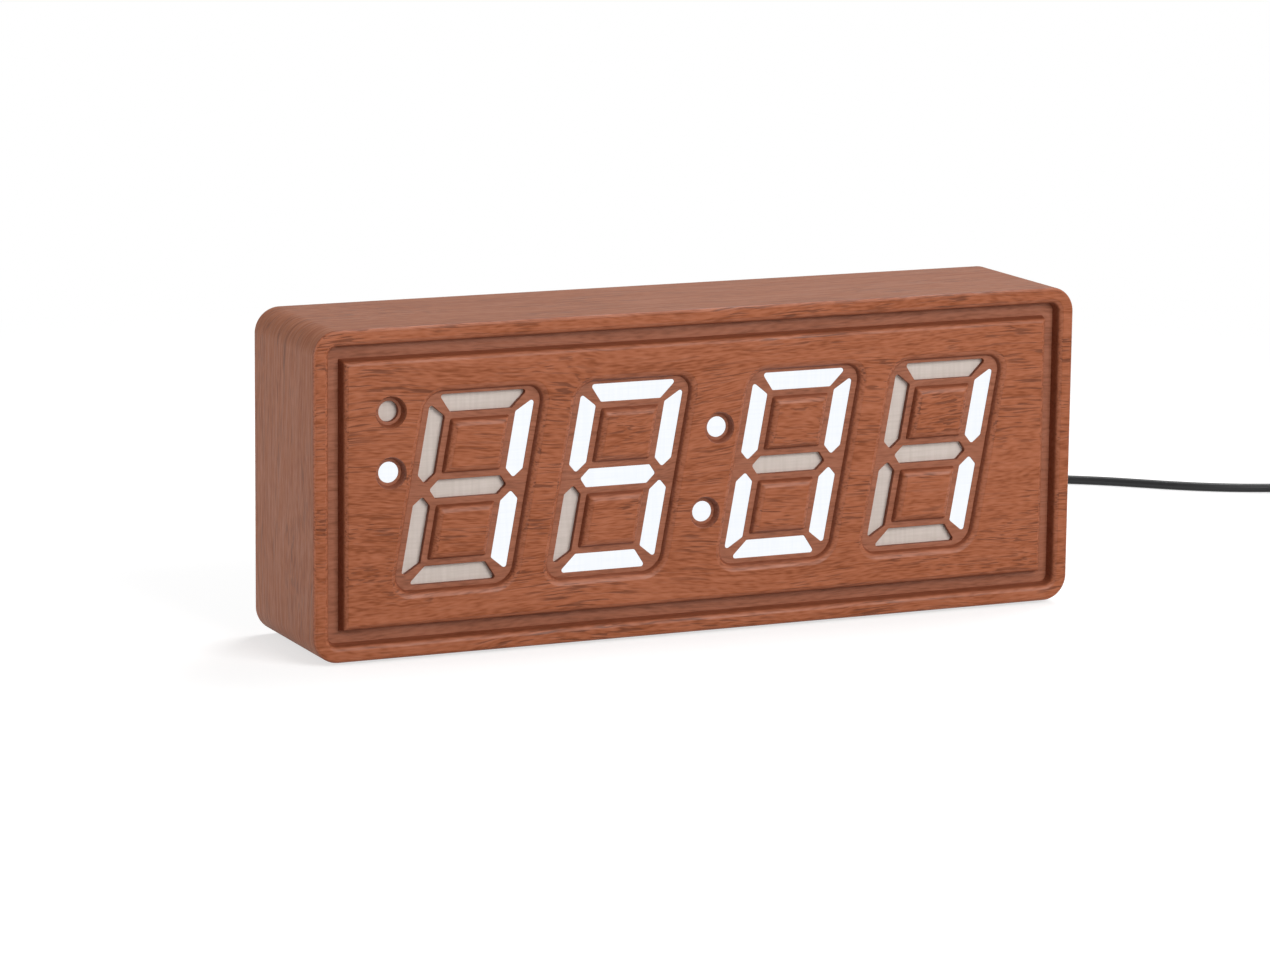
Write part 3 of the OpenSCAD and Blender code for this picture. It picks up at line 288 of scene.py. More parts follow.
# The coin cell is stainless steel, pressed and tumbled to a satin.
FINISHES["cell_steel"] = plated("satin stainless steel", "#c2c2c0", 0.32, scratch=(4.0, 1.0, 0.12))
# Spring contacts of phosphor bronze, and flashed gold on the plug's contacts.
FINISHES["contact_bronze"] = plated("phosphor bronze", "#c09a5c", 0.32)
FINISHES["contact_gold"] = plated("gold flash", "#d9b15c", 0.2)
print("finishes so far:", len(FINISHES))

# %% [markdown]
# The lead
#
# A light vinyl lead, 2.4 mm thick and 1.01 m long, runs from the round plug at the back of the
# clock, bows round the clock's right end, and ends in a flat plug. What the photograph does not
# show is wound into a neat coil and tied. A curve with a round bevel is the simplest true cord: it
# keeps its thickness everywhere, and its length can be read off the points. The route's points are
# the same as in the solid model, in millimetres.

# %% Route of the lead
LEAD_D = 2.4
LEAD_STEPS = 6
LEAD_SIDES = 16
LEAD_EXIT = (64.0, 49.3, 28.1)
LEAD_POINTS = [
    (64, 56, 28), (64, 65, 26), (65, 75, 20), (67, 85, 11.5), (70, 95, 4.8), (75, 105, 1.8),
    (83, 115, 1.3), (95, 124, 1.3), (110, 130, 1.3), (126, 131.98, 1.3), (142, 131, 1.3),
    (157, 127, 1.3), (170, 121, 1.3), (180, 115, 1.3), (187, 110, 1.3), (194, 104, 1.3),
    (201, 98, 1.3), (208, 93, 1.3), (216, 88.5, 1.3), (226, 84, 1.4), (235, 80, 1.6),
]
COIL_AT = Vector((240, 56, 0))
COIL_D = 28.4
COIL_TURNS = 7.95
COIL_PITCH = 2.9
COIL_START = math.radians(72)
COIL_Z = 1.8
COIL_STEPS = 36
CLIMB_TURNS = 0.5
TAIL_POINTS = [(10, 18, 4.6), (18, 12.5, 4.5), (23.6, 5, 4.3), (26, -4, 4)]
USB_END = (266, 48, 4)
# Each layer holds half of the turns, so its outermost turn lies half of their width further out.
coil_out_r = COIL_D / 2 + COIL_PITCH * COIL_TURNS / 4


def coil_point(turn):
    """The coil winds in along its lower layer and out again along the upper one"""
    climb = max(0.0, min(1.0, (turn - COIL_TURNS / 2) / CLIMB_TURNS + 0.5))
    radius = coil_out_r - COIL_PITCH * min(turn, COIL_TURNS - turn)
    angle = COIL_START - 2 * math.pi * turn
    height = COIL_Z + COIL_PITCH * climb * climb * (3 - 2 * climb)
    return COIL_AT + Vector((radius * math.cos(angle), radius * math.sin(angle), height))


def coil_heading(turn):
    """The way the lead runs at that turn of the coil"""
    angle = COIL_START - 2 * math.pi * turn
    return Vector((math.sin(angle), -math.cos(angle), 0))


def smooth(points, steps):
    """A smooth curve through points, with that many steps between two of them"""
    points = [Vector(p) for p in points]
    last = len(points) - 1
    path = []
    for i in range(last):
        a, b, c, d = (points[min(max(i + k, 0), last)] for k in (-1, 0, 1, 2))
        for k in range(steps):
            t = k / steps
            path.append((
                2 * b + (c - a) * t + (2 * a - 5 * b + 4 * c - d) * t ** 2
                + (3 * b - a - 3 * c + d) * t ** 3
            ) / 2)
    return path + [points[last]]


coil_count = round(COIL_TURNS * COIL_STEPS)
coil_path = [coil_point(COIL_TURNS * i / coil_count) for i in range(coil_count + 1)]
coil_entry = coil_path[0] - LEAD_D * coil_heading(0)
coil_exit = coil_path[-1] + LEAD_D * coil_heading(COIL_TURNS)
lead_path = (
    smooth([LEAD_EXIT, *LEAD_POINTS, coil_entry], LEAD_STEPS) + coil_path
    + smooth([coil_exit, *(COIL_AT + Vector(p) for p in TAIL_POINTS), USB_END], LEAD_STEPS)
)
lead_length = sum((b - a).length for a, b in zip(lead_path, lead_path[1:]))
print("lead:", len(lead_path), "points,", round(lead_length), "mm")

# %% Lead
curve = bpy.data.curves.new("power_lead", "CURVE")
curve.dimensions = "3D"
curve.bevel_depth = LEAD_D / 2 * MM
curve.bevel_resolution = LEAD_SIDES // 4
curve.use_fill_caps = True
spline = curve.splines.new("POLY")
spline.points.add(len(lead_path) - 1)
for point, target in zip(spline.points, lead_path):
    point.co = (*(target * MM), 1.0)
power_lead = bpy.data.objects.new("power_lead", curve)
bpy.context.scene.collection.objects.link(power_lead)


def place(piece, body, slot, *nodes):
    """Gives a piece its body and its finish, and hides the CAD nodes that it stands for"""
    if not piece.data.materials:
        piece.data.materials.append(FINISHES[slot])
    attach(piece, body)
    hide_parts(*nodes)
    return piece


place(power_lead, "clock", "lead_black", "cord_lead", "cord_coil", "cord_tail")
print("lead: rides on the clock")

# %% [markdown]
# Rounding the edges of a solid
#
# The solids of the frame have the right shape, but their edges are razor sharp, and nothing real
# is. A sharp edge never catches the light, so it looks drawn. The helper copies a solid, joins its
# loose triangles, and gives it a live bevel a few tenths of a millimetre wide. Weighted normals
# keep the flat faces looking flat beside the rounded ones.

# %% Helper for solids with rounded edges
WELD = 1e-6
LEVEL = math.radians(1)
SHARP = math.radians(32)
BEVEL_STEPS = 2


def new_piece(name, mesh):
    """An object in the scene from a finished bmesh, shaded smooth up to its sharp edges"""
    data = bpy.data.meshes.new(name)
    mesh.to_mesh(data)
    mesh.free()
    data.shade_smooth()
    data.set_sharp_from_angle(angle=SHARP)
    piece = bpy.data.objects.new(name, data)
    bpy.context.scene.collection.objects.link(piece)
    return piece


def softened(node, name, width):
    """A copy of a CAD node whose edges are rounded by that many millimetres"""
    copy = bmesh.new()
    copy.from_mesh(NODES[node].data)
    for layer in list(copy.loops.layers.float_vector.values()):
        copy.loops.layers.float_vector.remove(layer)
    bmesh.ops.remove_doubles(copy, verts=copy.verts, dist=WELD)
    bmesh.ops.dissolve_limit(copy, angle_limit=LEVEL, verts=copy.verts, edges=copy.edges)
    piece = new_piece(name, copy)
    bevel = piece.modifiers.new("rounded edges", "BEVEL")
    bevel.width = width * MM
    bevel.segments = BEVEL_STEPS
    bevel.limit_method = "ANGLE"
    bevel.angle_limit = SHARP
    bevel.use_clamp_overlap = True
    piece.modifiers.new("even shading", "WEIGHTED_NORMAL").keep_sharp = True
    print(name, "from", node, ":", len(piece.data.polygons), "faces before the bevel")
    return piece


print("edges of more than", round(math.degrees(SHARP)), "degrees are rounded")


# %% [markdown]
# Strain reliefs
#
# Where the lead leaves a plug, a moulded sleeve tapers onto it, and rings cut into the sleeve let
# it bend. Its radius follows a rule along its length, so Geometry Nodes make it: a line is cut into
# steps, the radius at each step is the taper less a ring's depth, and a circle is swept along it.

# %% Helpers for geometry trees
def new_tree(name, inputs, output):
    """A geometry tree with inputs of those kinds and one output; gives it and its inputs"""
    tree = bpy.data.node_groups.new(name, "GeometryNodeTree")
    for socket, kind in inputs.items():
        tree.interface.new_socket(socket, in_out="INPUT", socket_type="NodeSocket" + kind)
    tree.interface.new_socket(output, in_out="OUTPUT", socket_type="NodeSocketGeometry")
    return tree, add(tree, "NodeGroupInput").outputs


def end_in_shape(tree, shape, finish):
    """Makes copies real, gives them their finish and ends the tree"""
    real = add(tree, "GeometryNodeRealizeInstances", {"Geometry": shape})
    done = add(tree, "GeometryNodeSetMaterial", {"Geometry": real.outputs[0], "Material": finish})
    add(tree, "NodeGroupOutput", {0: done.outputs[0]})


def grown(name, tree, values, mesh=None):
    """A plain piece from a geometry tree, whose inputs are given by name"""
    seed = bpy.data.objects.new(name, mesh or bpy.data.meshes.new(name))
    bpy.context.scene.collection.objects.link(seed)
    modifier = seed.modifiers.new(name, "NODES")
    modifier.node_group = tree
    for item in tree.interface.items_tree:
        if item.in_out == "INPUT" and item.name in values:
            modifier[item.identifier] = values[item.name]
    bpy.context.view_layer.update()
    result = seed.evaluated_get(bpy.context.evaluated_depsgraph_get())
    data = bpy.data.meshes.new_from_object(result)
    seed.modifiers.remove(modifier)
    bpy.data.objects.remove(seed)
    shape = bmesh.new()
    shape.from_mesh(data)
    bmesh.ops.remove_doubles(shape, verts=shape.verts, dist=WELD)
    bmesh.ops.recalc_face_normals(shape, faces=shape.faces)
    piece = new_piece(name, shape)
    for material in data.materials:
        piece.data.materials.append(material)
    bpy.data.meshes.remove(data)
    print(name, "grown:", len(piece.data.polygons), "faces")
    return piece


print("points less than", round(WELD / MM, 4), "mm apart are welded")

# %% Tree of the ribbed sleeve
SLEEVE_STEPS = 145
SLEEVE_SIDES = 40
RING_CUT = (0.2, -0.6)


def ribbed_sleeve_tree():
    """A tapered sleeve between two points, with rings cut into it"""
    tree, given = new_tree("ribbed sleeve", {
        "Start": "Vector", "End": "Vector", "Start Radius": "Float", "End Radius": "Float",
        "Ring Depth": "Float", "Rings": "Float", "Margin": "Float", "Finish": "Material",
    }, "Sleeve")
    line = add(tree, "GeometryNodeCurvePrimitiveLine", {"Start": given["Start"], "End": given["End"]})
    steps = add(tree, "GeometryNodeResampleCurve", {"Curve": line.outputs[0], "Count": SLEEVE_STEPS})
    along = add(tree, "GeometryNodeSplineParameter").outputs["Factor"]
    rest = reckon(tree, "SUBTRACT", 1.0, given["Margin"])
    count = spread(tree, along, given["Margin"], rest, 0.0, given["Rings"])
    wave = reckon(tree, "COSINE", reckon(tree, "MULTIPLY", count, 2 * math.pi))
    cut = spread(tree, wave, *RING_CUT, 0.0, given["Ring Depth"], SMOOTH)
    taper = spread(tree, along, 0.0, 1.0, given["Start Radius"], given["End Radius"])
    circle = add(tree, "GeometryNodeCurvePrimitiveCircle", {"Resolution": SLEEVE_SIDES, "Radius": 1.0})
    sleeve = add(tree, "GeometryNodeCurveToMesh", {
        "Curve": steps.outputs[0], "Profile Curve": circle.outputs[0],
        "Scale": reckon(tree, "SUBTRACT", taper, cut), "Fill Caps": True,
    })
    end_in_shape(tree, sleeve.outputs[0], given["Finish"])
    return tree


sleeve_tree = ribbed_sleeve_tree()
print("sleeve tree:", len(sleeve_tree.nodes), "nodes")

# %% Strain reliefs
RINGS = 5.0
RING_DEPTH = 0.55
RING_MARGIN = 0.08
SLEEVE_END_R = 1.7
for node, start_r in (("lead_relief", 2.6), ("usb_relief", 2.8)):
    low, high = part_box(node)
    middle_x, middle_z = (low.x + high.x) / 2, (low.z + high.z) / 2
    place(grown(node + "_sleeve", sleeve_tree, {
        "Start": (middle_x, low.y, middle_z), "End": (middle_x, high.y, middle_z),
        "Start Radius": start_r * MM, "End Radius": SLEEVE_END_R * MM,
        "Ring Depth": RING_DEPTH * MM, "Rings": RINGS, "Margin": RING_MARGIN,
        "Finish": FINISHES["lead_black"],
    }), "clock", "lead_black", node)

# %% [markdown]
# Plugs and tie
#
# The grips of both plugs are moulded over the lead's ends, the flat plug's shell is folded nickel
# sheet, and a strip of woven hook-and-loop tape ties the coil. All of them keep the solids' shapes,
# with rounded edges. The tape's weave is two crossed waves, one thread to 0.5 mm.

# %% Woven tape
THREAD = 0.5
THREAD_RELIEF = 0.08
WAVE_LENGTH = 0.314


def woven(name, dark, light):
    """Woven tape: two crossed waves, one thread wide each"""
    finish, tree = new_finish(name)
    spot = solid_place(tree)
    threads = reckon(tree, "MULTIPLY", *(
        add(tree, "ShaderNodeTexWave", {
            "Vector": spot, "Scale": WAVE_LENGTH / THREAD, "Distortion": 0.6, "Detail": 1.0,
        }, bands_direction=axis).outputs["Fac"]
        for axis in ("X", "Z")
    ))
    end_in_surface(tree, {
        "Base Color": blend(tree, threads, dark, light), "Roughness": 0.9,
        "Normal": bumps(tree, threads, THREAD_RELIEF), "Sheen Weight": 0.3,
    })
    return finish


FINISHES["tie_black"] = woven("black woven tape", "#141415", "#2c2c2e")
print("finishes so far:", len(FINISHES))

# %% Plugs and tie
for node, name, width, slot in (
    ("plug_barrel", "round_plug_barrel", 0.15, "nickel_can"),
    ("plug_grip", "round_plug_grip", 0.2, "lead_black"),
    ("usb_grip", "flat_plug_grip", 0.7, "lead_black"),
    ("usb_shell", "flat_plug_shell", 0.08, "nickel_can"),
    ("usb_tongue", "flat_plug_tongue", 0.1, "white_plastic"),
    ("cord_tie", "coil_tie", 0.12, "tie_black"),
):
    place(softened(node, name, width), "clock", slot, node)

# %% [markdown]
# Wood
#
# The whole case is an open-pored red-brown wood, oiled to a satin. At arm's length its grain shows
# as broad bands, streaks, fine lines and specks along the wood, and as pores, short dark dashes
# that lie closer together in some fields than in others. Each is a noise stretched along the grain.
# The first four are added up and pick a tone between dark and light, so they blend as they do in
# wood, and the pores are cut in as dents. A slow sway bends everything, because a tree is not
# ruled, and a small ripple makes single lines wander. The real pores are 0.15 mm wide; they are
# drawn about 0.3 mm wide, because finer ones would not show. The coordinates are those of the
# solid itself, so the grain runs on through the milled grooves. The cutter has closed the pores
# there and left more shine. Shade is painted into the milled hollows as well, more of it further
# down: the floors, which look to the front, get a darker, greyer painted shade, and the steep walls a
# redder and darker one.

# %% What milling does to wood, and the shade painted into its hollows
# Between which two depths under the face the shine sets in, and then the painted shade, the fewer pores
# and the roughness.
MILLED_SHINE = (0.0, 0.15)
SHADE_AND_PORE_DEPTHS = (0.1, 1.0)
MILLED_PORES = 0.4


def mill_and_paint_shade(tree, solid, milled, base, pores, rough, shine):
    """Paints shade into wood below its face, changes its pores, roughness and shine, and gives them back
    """
    back_from = add(tree, "ShaderNodeSeparateXYZ", {0: solid}).outputs["Y"]
    cut, deep = (
        spread(tree, back_from, milled["face"] + start, milled["face"] + end, kind=SMOOTH)
        for start, end in (MILLED_SHINE, SHADE_AND_PORE_DEPTHS)
    )
    normal = add(tree, "ShaderNodeNewGeometry").outputs["Normal"]
    facing = add(tree, "ShaderNodeSeparateXYZ", {0: normal}).outputs["Y"]
    # Painted shade: the floors get a darker, greyer colour and the steep walls a darker, redder one,
    # more of it further below the face.
    for shade, share, turned, full in milled["parts"].values():
        painted_shade_mask = spread(tree, facing, turned, full, 0.0, share, SMOOTH)
        base = blend(tree, reckon(tree, "MULTIPLY", deep, painted_shade_mask), base, shade)
    pores = reckon(tree, "MULTIPLY", pores, spread(tree, deep, 0.0, 1.0, 1.0, MILLED_PORES))
    rough = reckon(tree, "MULTIPLY_ADD", deep, milled["rougher"], rough)
    shine = reckon(tree, "MULTIPLY_ADD", cut, milled["shinier"], shine)
    return base, pores, rough, shine


print("milled wood keeps", MILLED_PORES, "of its pores")

# %% Wood finish
WOOD_LAYERS = {
    # name: length along the grain and width across it, detail
    "bands": (120.0, 9.0, 3.0),
    "streaks": (40.0, 1.8, 3.0),
    "lines": (16.0, 0.75, 2.0),
    "specks": (2.5, 0.4, 0.0),
    "pores": (10.0, 0.46, 1.0),
    "fields": (26.0, 7.0, 2.0),
}
WOOD_WEIGHTS = {"bands": 0.7, "streaks": 0.9, "lines": 1.1, "specks": 1.2}
WOOD_SWAY = ((95.0, 40.0, 40.0), 16.0)
WOOD_RIPPLE = ((12.0, 5.0, 5.0), 0.9)
WOOD_SPREAD = (0.06, -0.06)
LINES_HEIGHT = 0.4
# Between which two values of their noise pores and fields set in, and how strong they are there.
PORES_SHOW = (0.54, 0.64, 0.0, 0.85)
FIELDS_SHOW = (0.4, 0.62, 0.15, 0.8)


def wood(name, tones, pore, roughness=0.48, shine=0.5, pore_depth=0.05, grain=None, milled=None):
    """Open-pored wood with its grain along X, or along the first axis of the attribute named"""
    finish, tree = new_finish(name)
    solid = spot = solid_place(tree, grain)
    for size, swing in (WOOD_SWAY, WOOD_RIPPLE):
        bend = noise(tree, spot, size, 1.0, "Color")
        spot = reckon(
            tree, "MULTIPLY_ADD", bend, (0, swing, swing), spot, kind="ShaderNodeVectorMath"
        )
    layer = {
        key: noise(tree, spot, (length, across, across), detail)
        for key, (length, across, detail) in WOOD_LAYERS.items()
    }
    tone = 0.5
    for key, weight in WOOD_WEIGHTS.items():
        tone = reckon(tree, "MULTIPLY_ADD", reckon(tree, "SUBTRACT", layer[key], 0.5), weight, tone)
    ramp = add(tree, "ShaderNodeValToRGB", {"Fac": tone})
    ramp.color_ramp.elements.new(0.5)
    for element, shade in zip(ramp.color_ramp.elements, tones):
        element.color = colour(shade)
    base = ramp.outputs[0]
    dashes = spread(tree, layer["pores"], *PORES_SHOW, SMOOTH)
    pores = reckon(tree, "MULTIPLY", dashes, spread(tree, layer["fields"], *FIELDS_SHOW, SMOOTH))
    rough = spread(
        tree, layer["lines"], *NOISE_RANGE, *(roughness + s for s in WOOD_SPREAD), SMOOTH
    )
    if milled:
        base, pores, rough, shine = mill_and_paint_shade(tree, solid, milled, base, pores, rough, shine)
    height = reckon(tree, "MULTIPLY_ADD", layer["lines"], LINES_HEIGHT, pores)
    end_in_surface(tree, {
        "Base Color": blend(tree, pores, base, pore), "Roughness": rough,
        "Normal": bumps(tree, height, pore_depth, invert=True),
        "IOR": 1.45, "Specular IOR Level": shine,
    })
    return finish


# Milled board: deep orange-brown wood under thin oil, which leaves only half a varnish's shine.
# Each milled part has its painted shade: its colour, how strong it is, and the turn at which it sets in
# and is full.
FINISHES["wood_front"] = wood(
    "oiled sapele board", ("#854524", "#a05b3b", "#ac6748"), "#5c2f1c", shine=0.25,
    milled={
        "face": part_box("front_board")[0].y / MM, "rougher": 0.12, "shinier": 0.25,
        "parts": {"floors": ("#6f4a3a", 0.3, -0.8, -0.97), "walls": ("#682e16", 0.6, -0.8, -0.5)},
    },
)
# Bent sleeve: the same wood as thin veneer, sanded finer and drier, so it is calmer and duller.
FINISHES["wood_case"] = wood(
    "dry sapele veneer", ("#8b4e31", "#985b3b", "#a06549"), "#6b412f",
    roughness=0.55, pore_depth=0.03, grain="grain",
)
# Glue blocks: pale sawn beech.
FINISHES["wood_block"] = wood("sawn beech", ("#b8956c", "#c9a67c", "#d6b78f"), "#96744e", roughness=0.8)
print("wood finishes made of", len(WOOD_LAYERS), "layers")

# %% [markdown]
# Outlines of the milling
#
# A milled front is a stack of outlines: each field has a floor line and a rim line, and a side
# joins them. The cutter's taper leaves a wall that leans back, and above it a flat shoulder, which
# meets the face in a crisp line, as on a raised door panel. The helpers below give a rounded
# rectangle, round the corners of any outline, and let an outline grow. Digits lean by ten degrees,
# so an outline can lean too.

# %% Outline helpers
LEAN = math.tan(math.radians(10))


def rect_outline(width, height, radius, steps, lean=0.0):
    """Points of a rounded rectangle about its middle, anticlockwise seen from the front"""
    points = []
    for quarter in range(4):
        side = 1 if quarter in (0, 3) else -1
        top = 1 if quarter < 2 else -1
        for step in range(steps + 1):
            angle = math.pi / 2 * (quarter + step / steps)
            x = side * (width / 2 - radius) + radius * math.cos(angle)
            z = top * (height / 2 - radius) + radius * math.sin(angle)
            points.append((x + z * lean, z))
    return points


def circle_outline(diameter, steps):
    """Points of a circle, anticlockwise"""
    turns = [2 * math.pi * i / steps for i in range(steps)]
    return [(diameter / 2 * math.cos(a), diameter / 2 * math.sin(a)) for a in turns]


def grow_outline(points, margin):
    """An outline moved outwards by a margin; the points run anticlockwise"""
    grown_points = []
    for i, point in enumerate(points):
        before = (Vector(point) - Vector(points[i - 1])).normalized()
        after = (Vector(points[(i + 1) % len(points)]) - Vector(point)).normalized()
        normals = Vector((before.y + after.y, -before.x - after.x))
        grown_points.append(Vector(point) + normals * margin / (1 + before.dot(after)))
    return grown_points


def round_outline(points, radius, steps):
    """An outline with its corners rounded"""
    rounded = []
    for i, point in enumerate(points):
        point = Vector(point)
        u = (Vector(points[i - 1]) - point).normalized()
        w = (Vector(points[(i + 1) % len(points)]) - point).normalized()
        half = math.acos(u.dot(w)) / 2
        middle = point + (u + w).normalized() * radius / math.sin(half)
        a = point + u * radius / math.tan(half) - middle
        b = point + w * radius / math.tan(half) - middle
        start = math.atan2(a.y, a.x)
        swing = math.atan2(a.x * b.y - a.y * b.x, a.dot(b))
        for step in range(steps + 1):
            angle = start + swing * step / steps
            rounded.append(middle + radius * Vector((math.cos(angle), math.sin(angle))))
    return rounded


print("lean:", round(LEAN, 3), "mm sideways for each mm upwards")

# %% Rings and skins
def ring(mesh, outline, depth, at=(0.0, 0.0)):
    """A closed row of vertices along an outline, at that depth"""
    return [mesh.verts.new(((x + at[0]) * MM, depth * MM, (z + at[1]) * MM)) for x, z in outline]


def skin(mesh, rings):
    """Quads between each ring and the next"""
    for near, far in zip(rings, rings[1:]):
        for i in range(len(near)):
            mesh.faces.new((near[i - 1], near[i], far[i], far[i - 1]))


def flat(mesh, *rings):
    """Fills the flat field between an outer ring and any rings inside it"""
    edges = []
    for row in rings:
        for i, vertex in enumerate(row):
            pair = (row[i - 1], vertex)
            edges.append(mesh.edges.get(pair) or mesh.edges.new(pair))
    bmesh.ops.triangle_fill(mesh, use_beauty=True, edges=edges)


print("skins join rings, flat fields fill them")

# %% Shape of a milled side
WALL_LEAN = 0.5
SHOULDER_H = 0.6
WALL_EDGE_R = 0.75
WALL_EDGE_STEPS = 7
# The softened edge takes no more than this share of the wall or the shoulder that it joins.
WALL_EDGE_SHARE = 0.7
RIM_W = 0.1
CORNER_STEPS = 10


def milled_side(width, depth):
    """A milled side as (out, down) from its foot: a wall, its softened edge and a shoulder"""
    foot, edge, rim = Vector((0, depth)), Vector((WALL_LEAN, SHOULDER_H)), Vector((width, 0))
    wall, shoulder = foot - edge, rim - edge
    before = edge + wall.normalized() * min(WALL_EDGE_R, wall.length * WALL_EDGE_SHARE)
    after = edge + shoulder.normalized() * min(WALL_EDGE_R, shoulder.length * WALL_EDGE_SHARE)
    bends = [
        before * (1 - t) ** 2 + edge * 2 * t * (1 - t) + after * t ** 2
        for t in (i / WALL_EDGE_STEPS for i in range(WALL_EDGE_STEPS + 1))
    ]
    return [foot, *bends, rim + (edge - rim).normalized() * RIM_W, rim]


def quarter_round(radius, steps):
    """A softened edge as (in, down): it starts on the face and ends on the side"""
    turns = [math.pi / 2 * i / steps for i in range(steps + 1)]
    return [(radius * (1 - math.sin(turn)), radius * (1 - math.cos(turn))) for turn in turns]


print("a milled side has", len(milled_side(SHOULDER_H, 2 * SHOULDER_H)), "rings")

# %% [markdown]
# The bent sleeve
#
# Four walls are bent from one laminated board, so the grain follows the bend round all four sides.
# The sleeve is a closed loft: rings of the same number of points go along the outside, round the
# back edge, through the hollow, across the rebate that holds the front board and round the front
# edge. Each face corner stores how far it lies round the sleeve, how deep and how far in. The wood
# reads that instead of the place in space, so its grain runs along X on top and upwards at the
# ends. The ends of the wrap meet under the clock, where the real joint is.

# %% Sleeve
sleeve_low, sleeve_high = (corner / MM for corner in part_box("case_sleeve"))
CASE_W = sleeve_high.x - sleeve_low.x
CASE_H = sleeve_high.z - sleeve_low.z
CASE_MID_Z = (sleeve_high.z + sleeve_low.z) / 2
FRONT_Y = sleeve_low.y
BACK_Y = sleeve_high.y
BOARD_BACK_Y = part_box("front_board")[1].y / MM
WALL_T = 7.0
CORNER_R = 6.2
HOLLOW_R = 2.0
EDGE_R = 0.8
REBATE_R = CORNER_R - EDGE_R
HOLLOW_EDGE_R = 0.4
HOLLOW_EDGE_STEPS = 4
EDGE_STEPS = 8
WRAP_STEPS = 24


def frame_outline(inset, radius, steps=CORNER_STEPS):
    """A rounded rectangle that far inside the case's edge"""
    return rect_outline(CASE_W - 2 * inset, CASE_H - 2 * inset, radius, steps)


def wrap_outline(inset, radius):
    """The case's outline that far inside its edge, starting at the middle of the bottom"""
    outline = frame_outline(inset, radius, WRAP_STEPS)
    start = 3 * (WRAP_STEPS + 1)
    return [(0.0, inset - CASE_H / 2), *outline[start:], *outline[:start]]


front_edge = quarter_round(EDGE_R, EDGE_STEPS)
hollow_edge = [
    (WALL_T - inset, depth) for inset, depth in quarter_round(HOLLOW_EDGE_R, HOLLOW_EDGE_STEPS)
]
PROFILE = (
    [(inset, FRONT_Y + depth, CORNER_R - inset) for inset, depth in front_edge]
    + [(inset, BACK_Y - depth, CORNER_R - inset) for inset, depth in reversed(front_edge)]
    + [(inset, BACK_Y - depth, HOLLOW_R + WALL_T - inset) for inset, depth in hollow_edge]
    + [(WALL_T, BOARD_BACK_Y, HOLLOW_R), (EDGE_R, BOARD_BACK_Y, REBATE_R)]
)

mesh = bmesh.new()
rings = [
    ring(mesh, wrap_outline(inset, radius), depth, (0.0, CASE_MID_Z))
    for inset, depth, radius in PROFILE
]
outer = wrap_outline(0.0, CORNER_R)
around = [0.0]
for first, second in zip(outer, outer[1:] + outer[:1]):
    around.append(around[-1] + math.dist(first, second))
grain = mesh.loops.layers.float_vector.new("grain")
for k in range(len(rings)):
    following = (k + 1) % len(rings)
    for i in range(len(outer)):
        j = (i + 1) % len(outer)
        corners = (
            (rings[k][i], k, i), (rings[k][j], k, i + 1),
            (rings[following][j], following, i + 1), (rings[following][i], following, i),
        )
        face = mesh.faces.new([corner[0] for corner in corners])
        face.material_index = 1 if k < EDGE_STEPS else 0
        for loop, (_, row, step) in zip(face.loops, corners):
            inset, depth, _ = PROFILE[row]
            loop[grain] = Vector((around[step], depth, inset)) * MM
bmesh.ops.recalc_face_normals(mesh, faces=mesh.faces)
bent_sleeve = new_piece("bent_sleeve", mesh)
bent_sleeve.data.materials.append(FINISHES["wood_case"])
bent_sleeve.data.materials.append(FINISHES["wood_front"])
bent_sleeve.modifiers.new("even shading", "WEIGHTED_NORMAL").keep_sharp = True
place(bent_sleeve, "clock", "wood_case", "case_sleeve")
print("sleeve:", len(bent_sleeve.data.polygons), "faces,", round(around[-1]), "mm round")

# %% [markdown]
# Strokes of the digits
#
# Each digit has seven strokes with mitred ends. Their corners stand in from the digit's corners by
# shares of the stroke's width, and everything leans. The same outlines cut the windows and shape
# the lit strokes.

# %% Strokes
DIGIT_W = 26.6
DIGIT_H = 45.0
STROKE_W = 4.35
BAR_END_SHARES = (0.45, 1.28)
UPRIGHT_TOP_SHARES = (0.48, 1.19)
UPRIGHT_FOOT_SHARES = (0.88, 0.48, 0.35, 0.82)
MIDDLE_END_SHARES = (0.81, 1.24, 0.51)
half_w, half_h = DIGIT_W / 2, DIGIT_H / 2

top_bar = [
    (half_w - BAR_END_SHARES[0] * STROKE_W, half_h),
    (-half_w + BAR_END_SHARES[0] * STROKE_W, half_h),
    (-half_w + BAR_END_SHARES[1] * STROKE_W, half_h - STROKE_W),
    (half_w - BAR_END_SHARES[1] * STROKE_W, half_h - STROKE_W),
]
right_upright = [
    (half_w, half_h - UPRIGHT_TOP_SHARES[0] * STROKE_W),
    (half_w - STROKE_W, half_h - UPRIGHT_TOP_SHARES[1] * STROKE_W),
    (half_w - STROKE_W, UPRIGHT_FOOT_SHARES[0] * STROKE_W),
    (half_w - UPRIGHT_FOOT_SHARES[1] * STROKE_W, UPRIGHT_FOOT_SHARES[2] * STROKE_W),
    (half_w, UPRIGHT_FOOT_SHARES[3] * STROKE_W),
]
middle_bar = [
    point
    for s in (1, -1)
    for point in (
        (s * (half_w - MIDDLE_END_SHARES[0] * STROKE_W), 0.0),
        (s * (half_w - MIDDLE_END_SHARES[1] * STROKE_W), s * MIDDLE_END_SHARES[2] * STROKE_W),
        (-s * (half_w - MIDDLE_END_SHARES[1] * STROKE_W), s * MIDDLE_END_SHARES[2] * STROKE_W),
    )
]


def flipped(points, sx, sz):
    """An outline mirrored in X, in Z or in both, still running anticlockwise"""
    turned = [(sx * x, sz * z) for x, z in points]
    return turned if sx * sz > 0 else turned[::-1]


STROKES = [
    [(x + z * LEAN, z) for x, z in points]
    for points in (
        top_bar, right_upright, flipped(right_upright, 1, -1), flipped(top_bar, 1, -1),
        flipped(right_upright, -1, -1), flipped(right_upright, -1, 1), middle_bar,
    )
]
print("strokes:", [len(points) for points in STROKES])

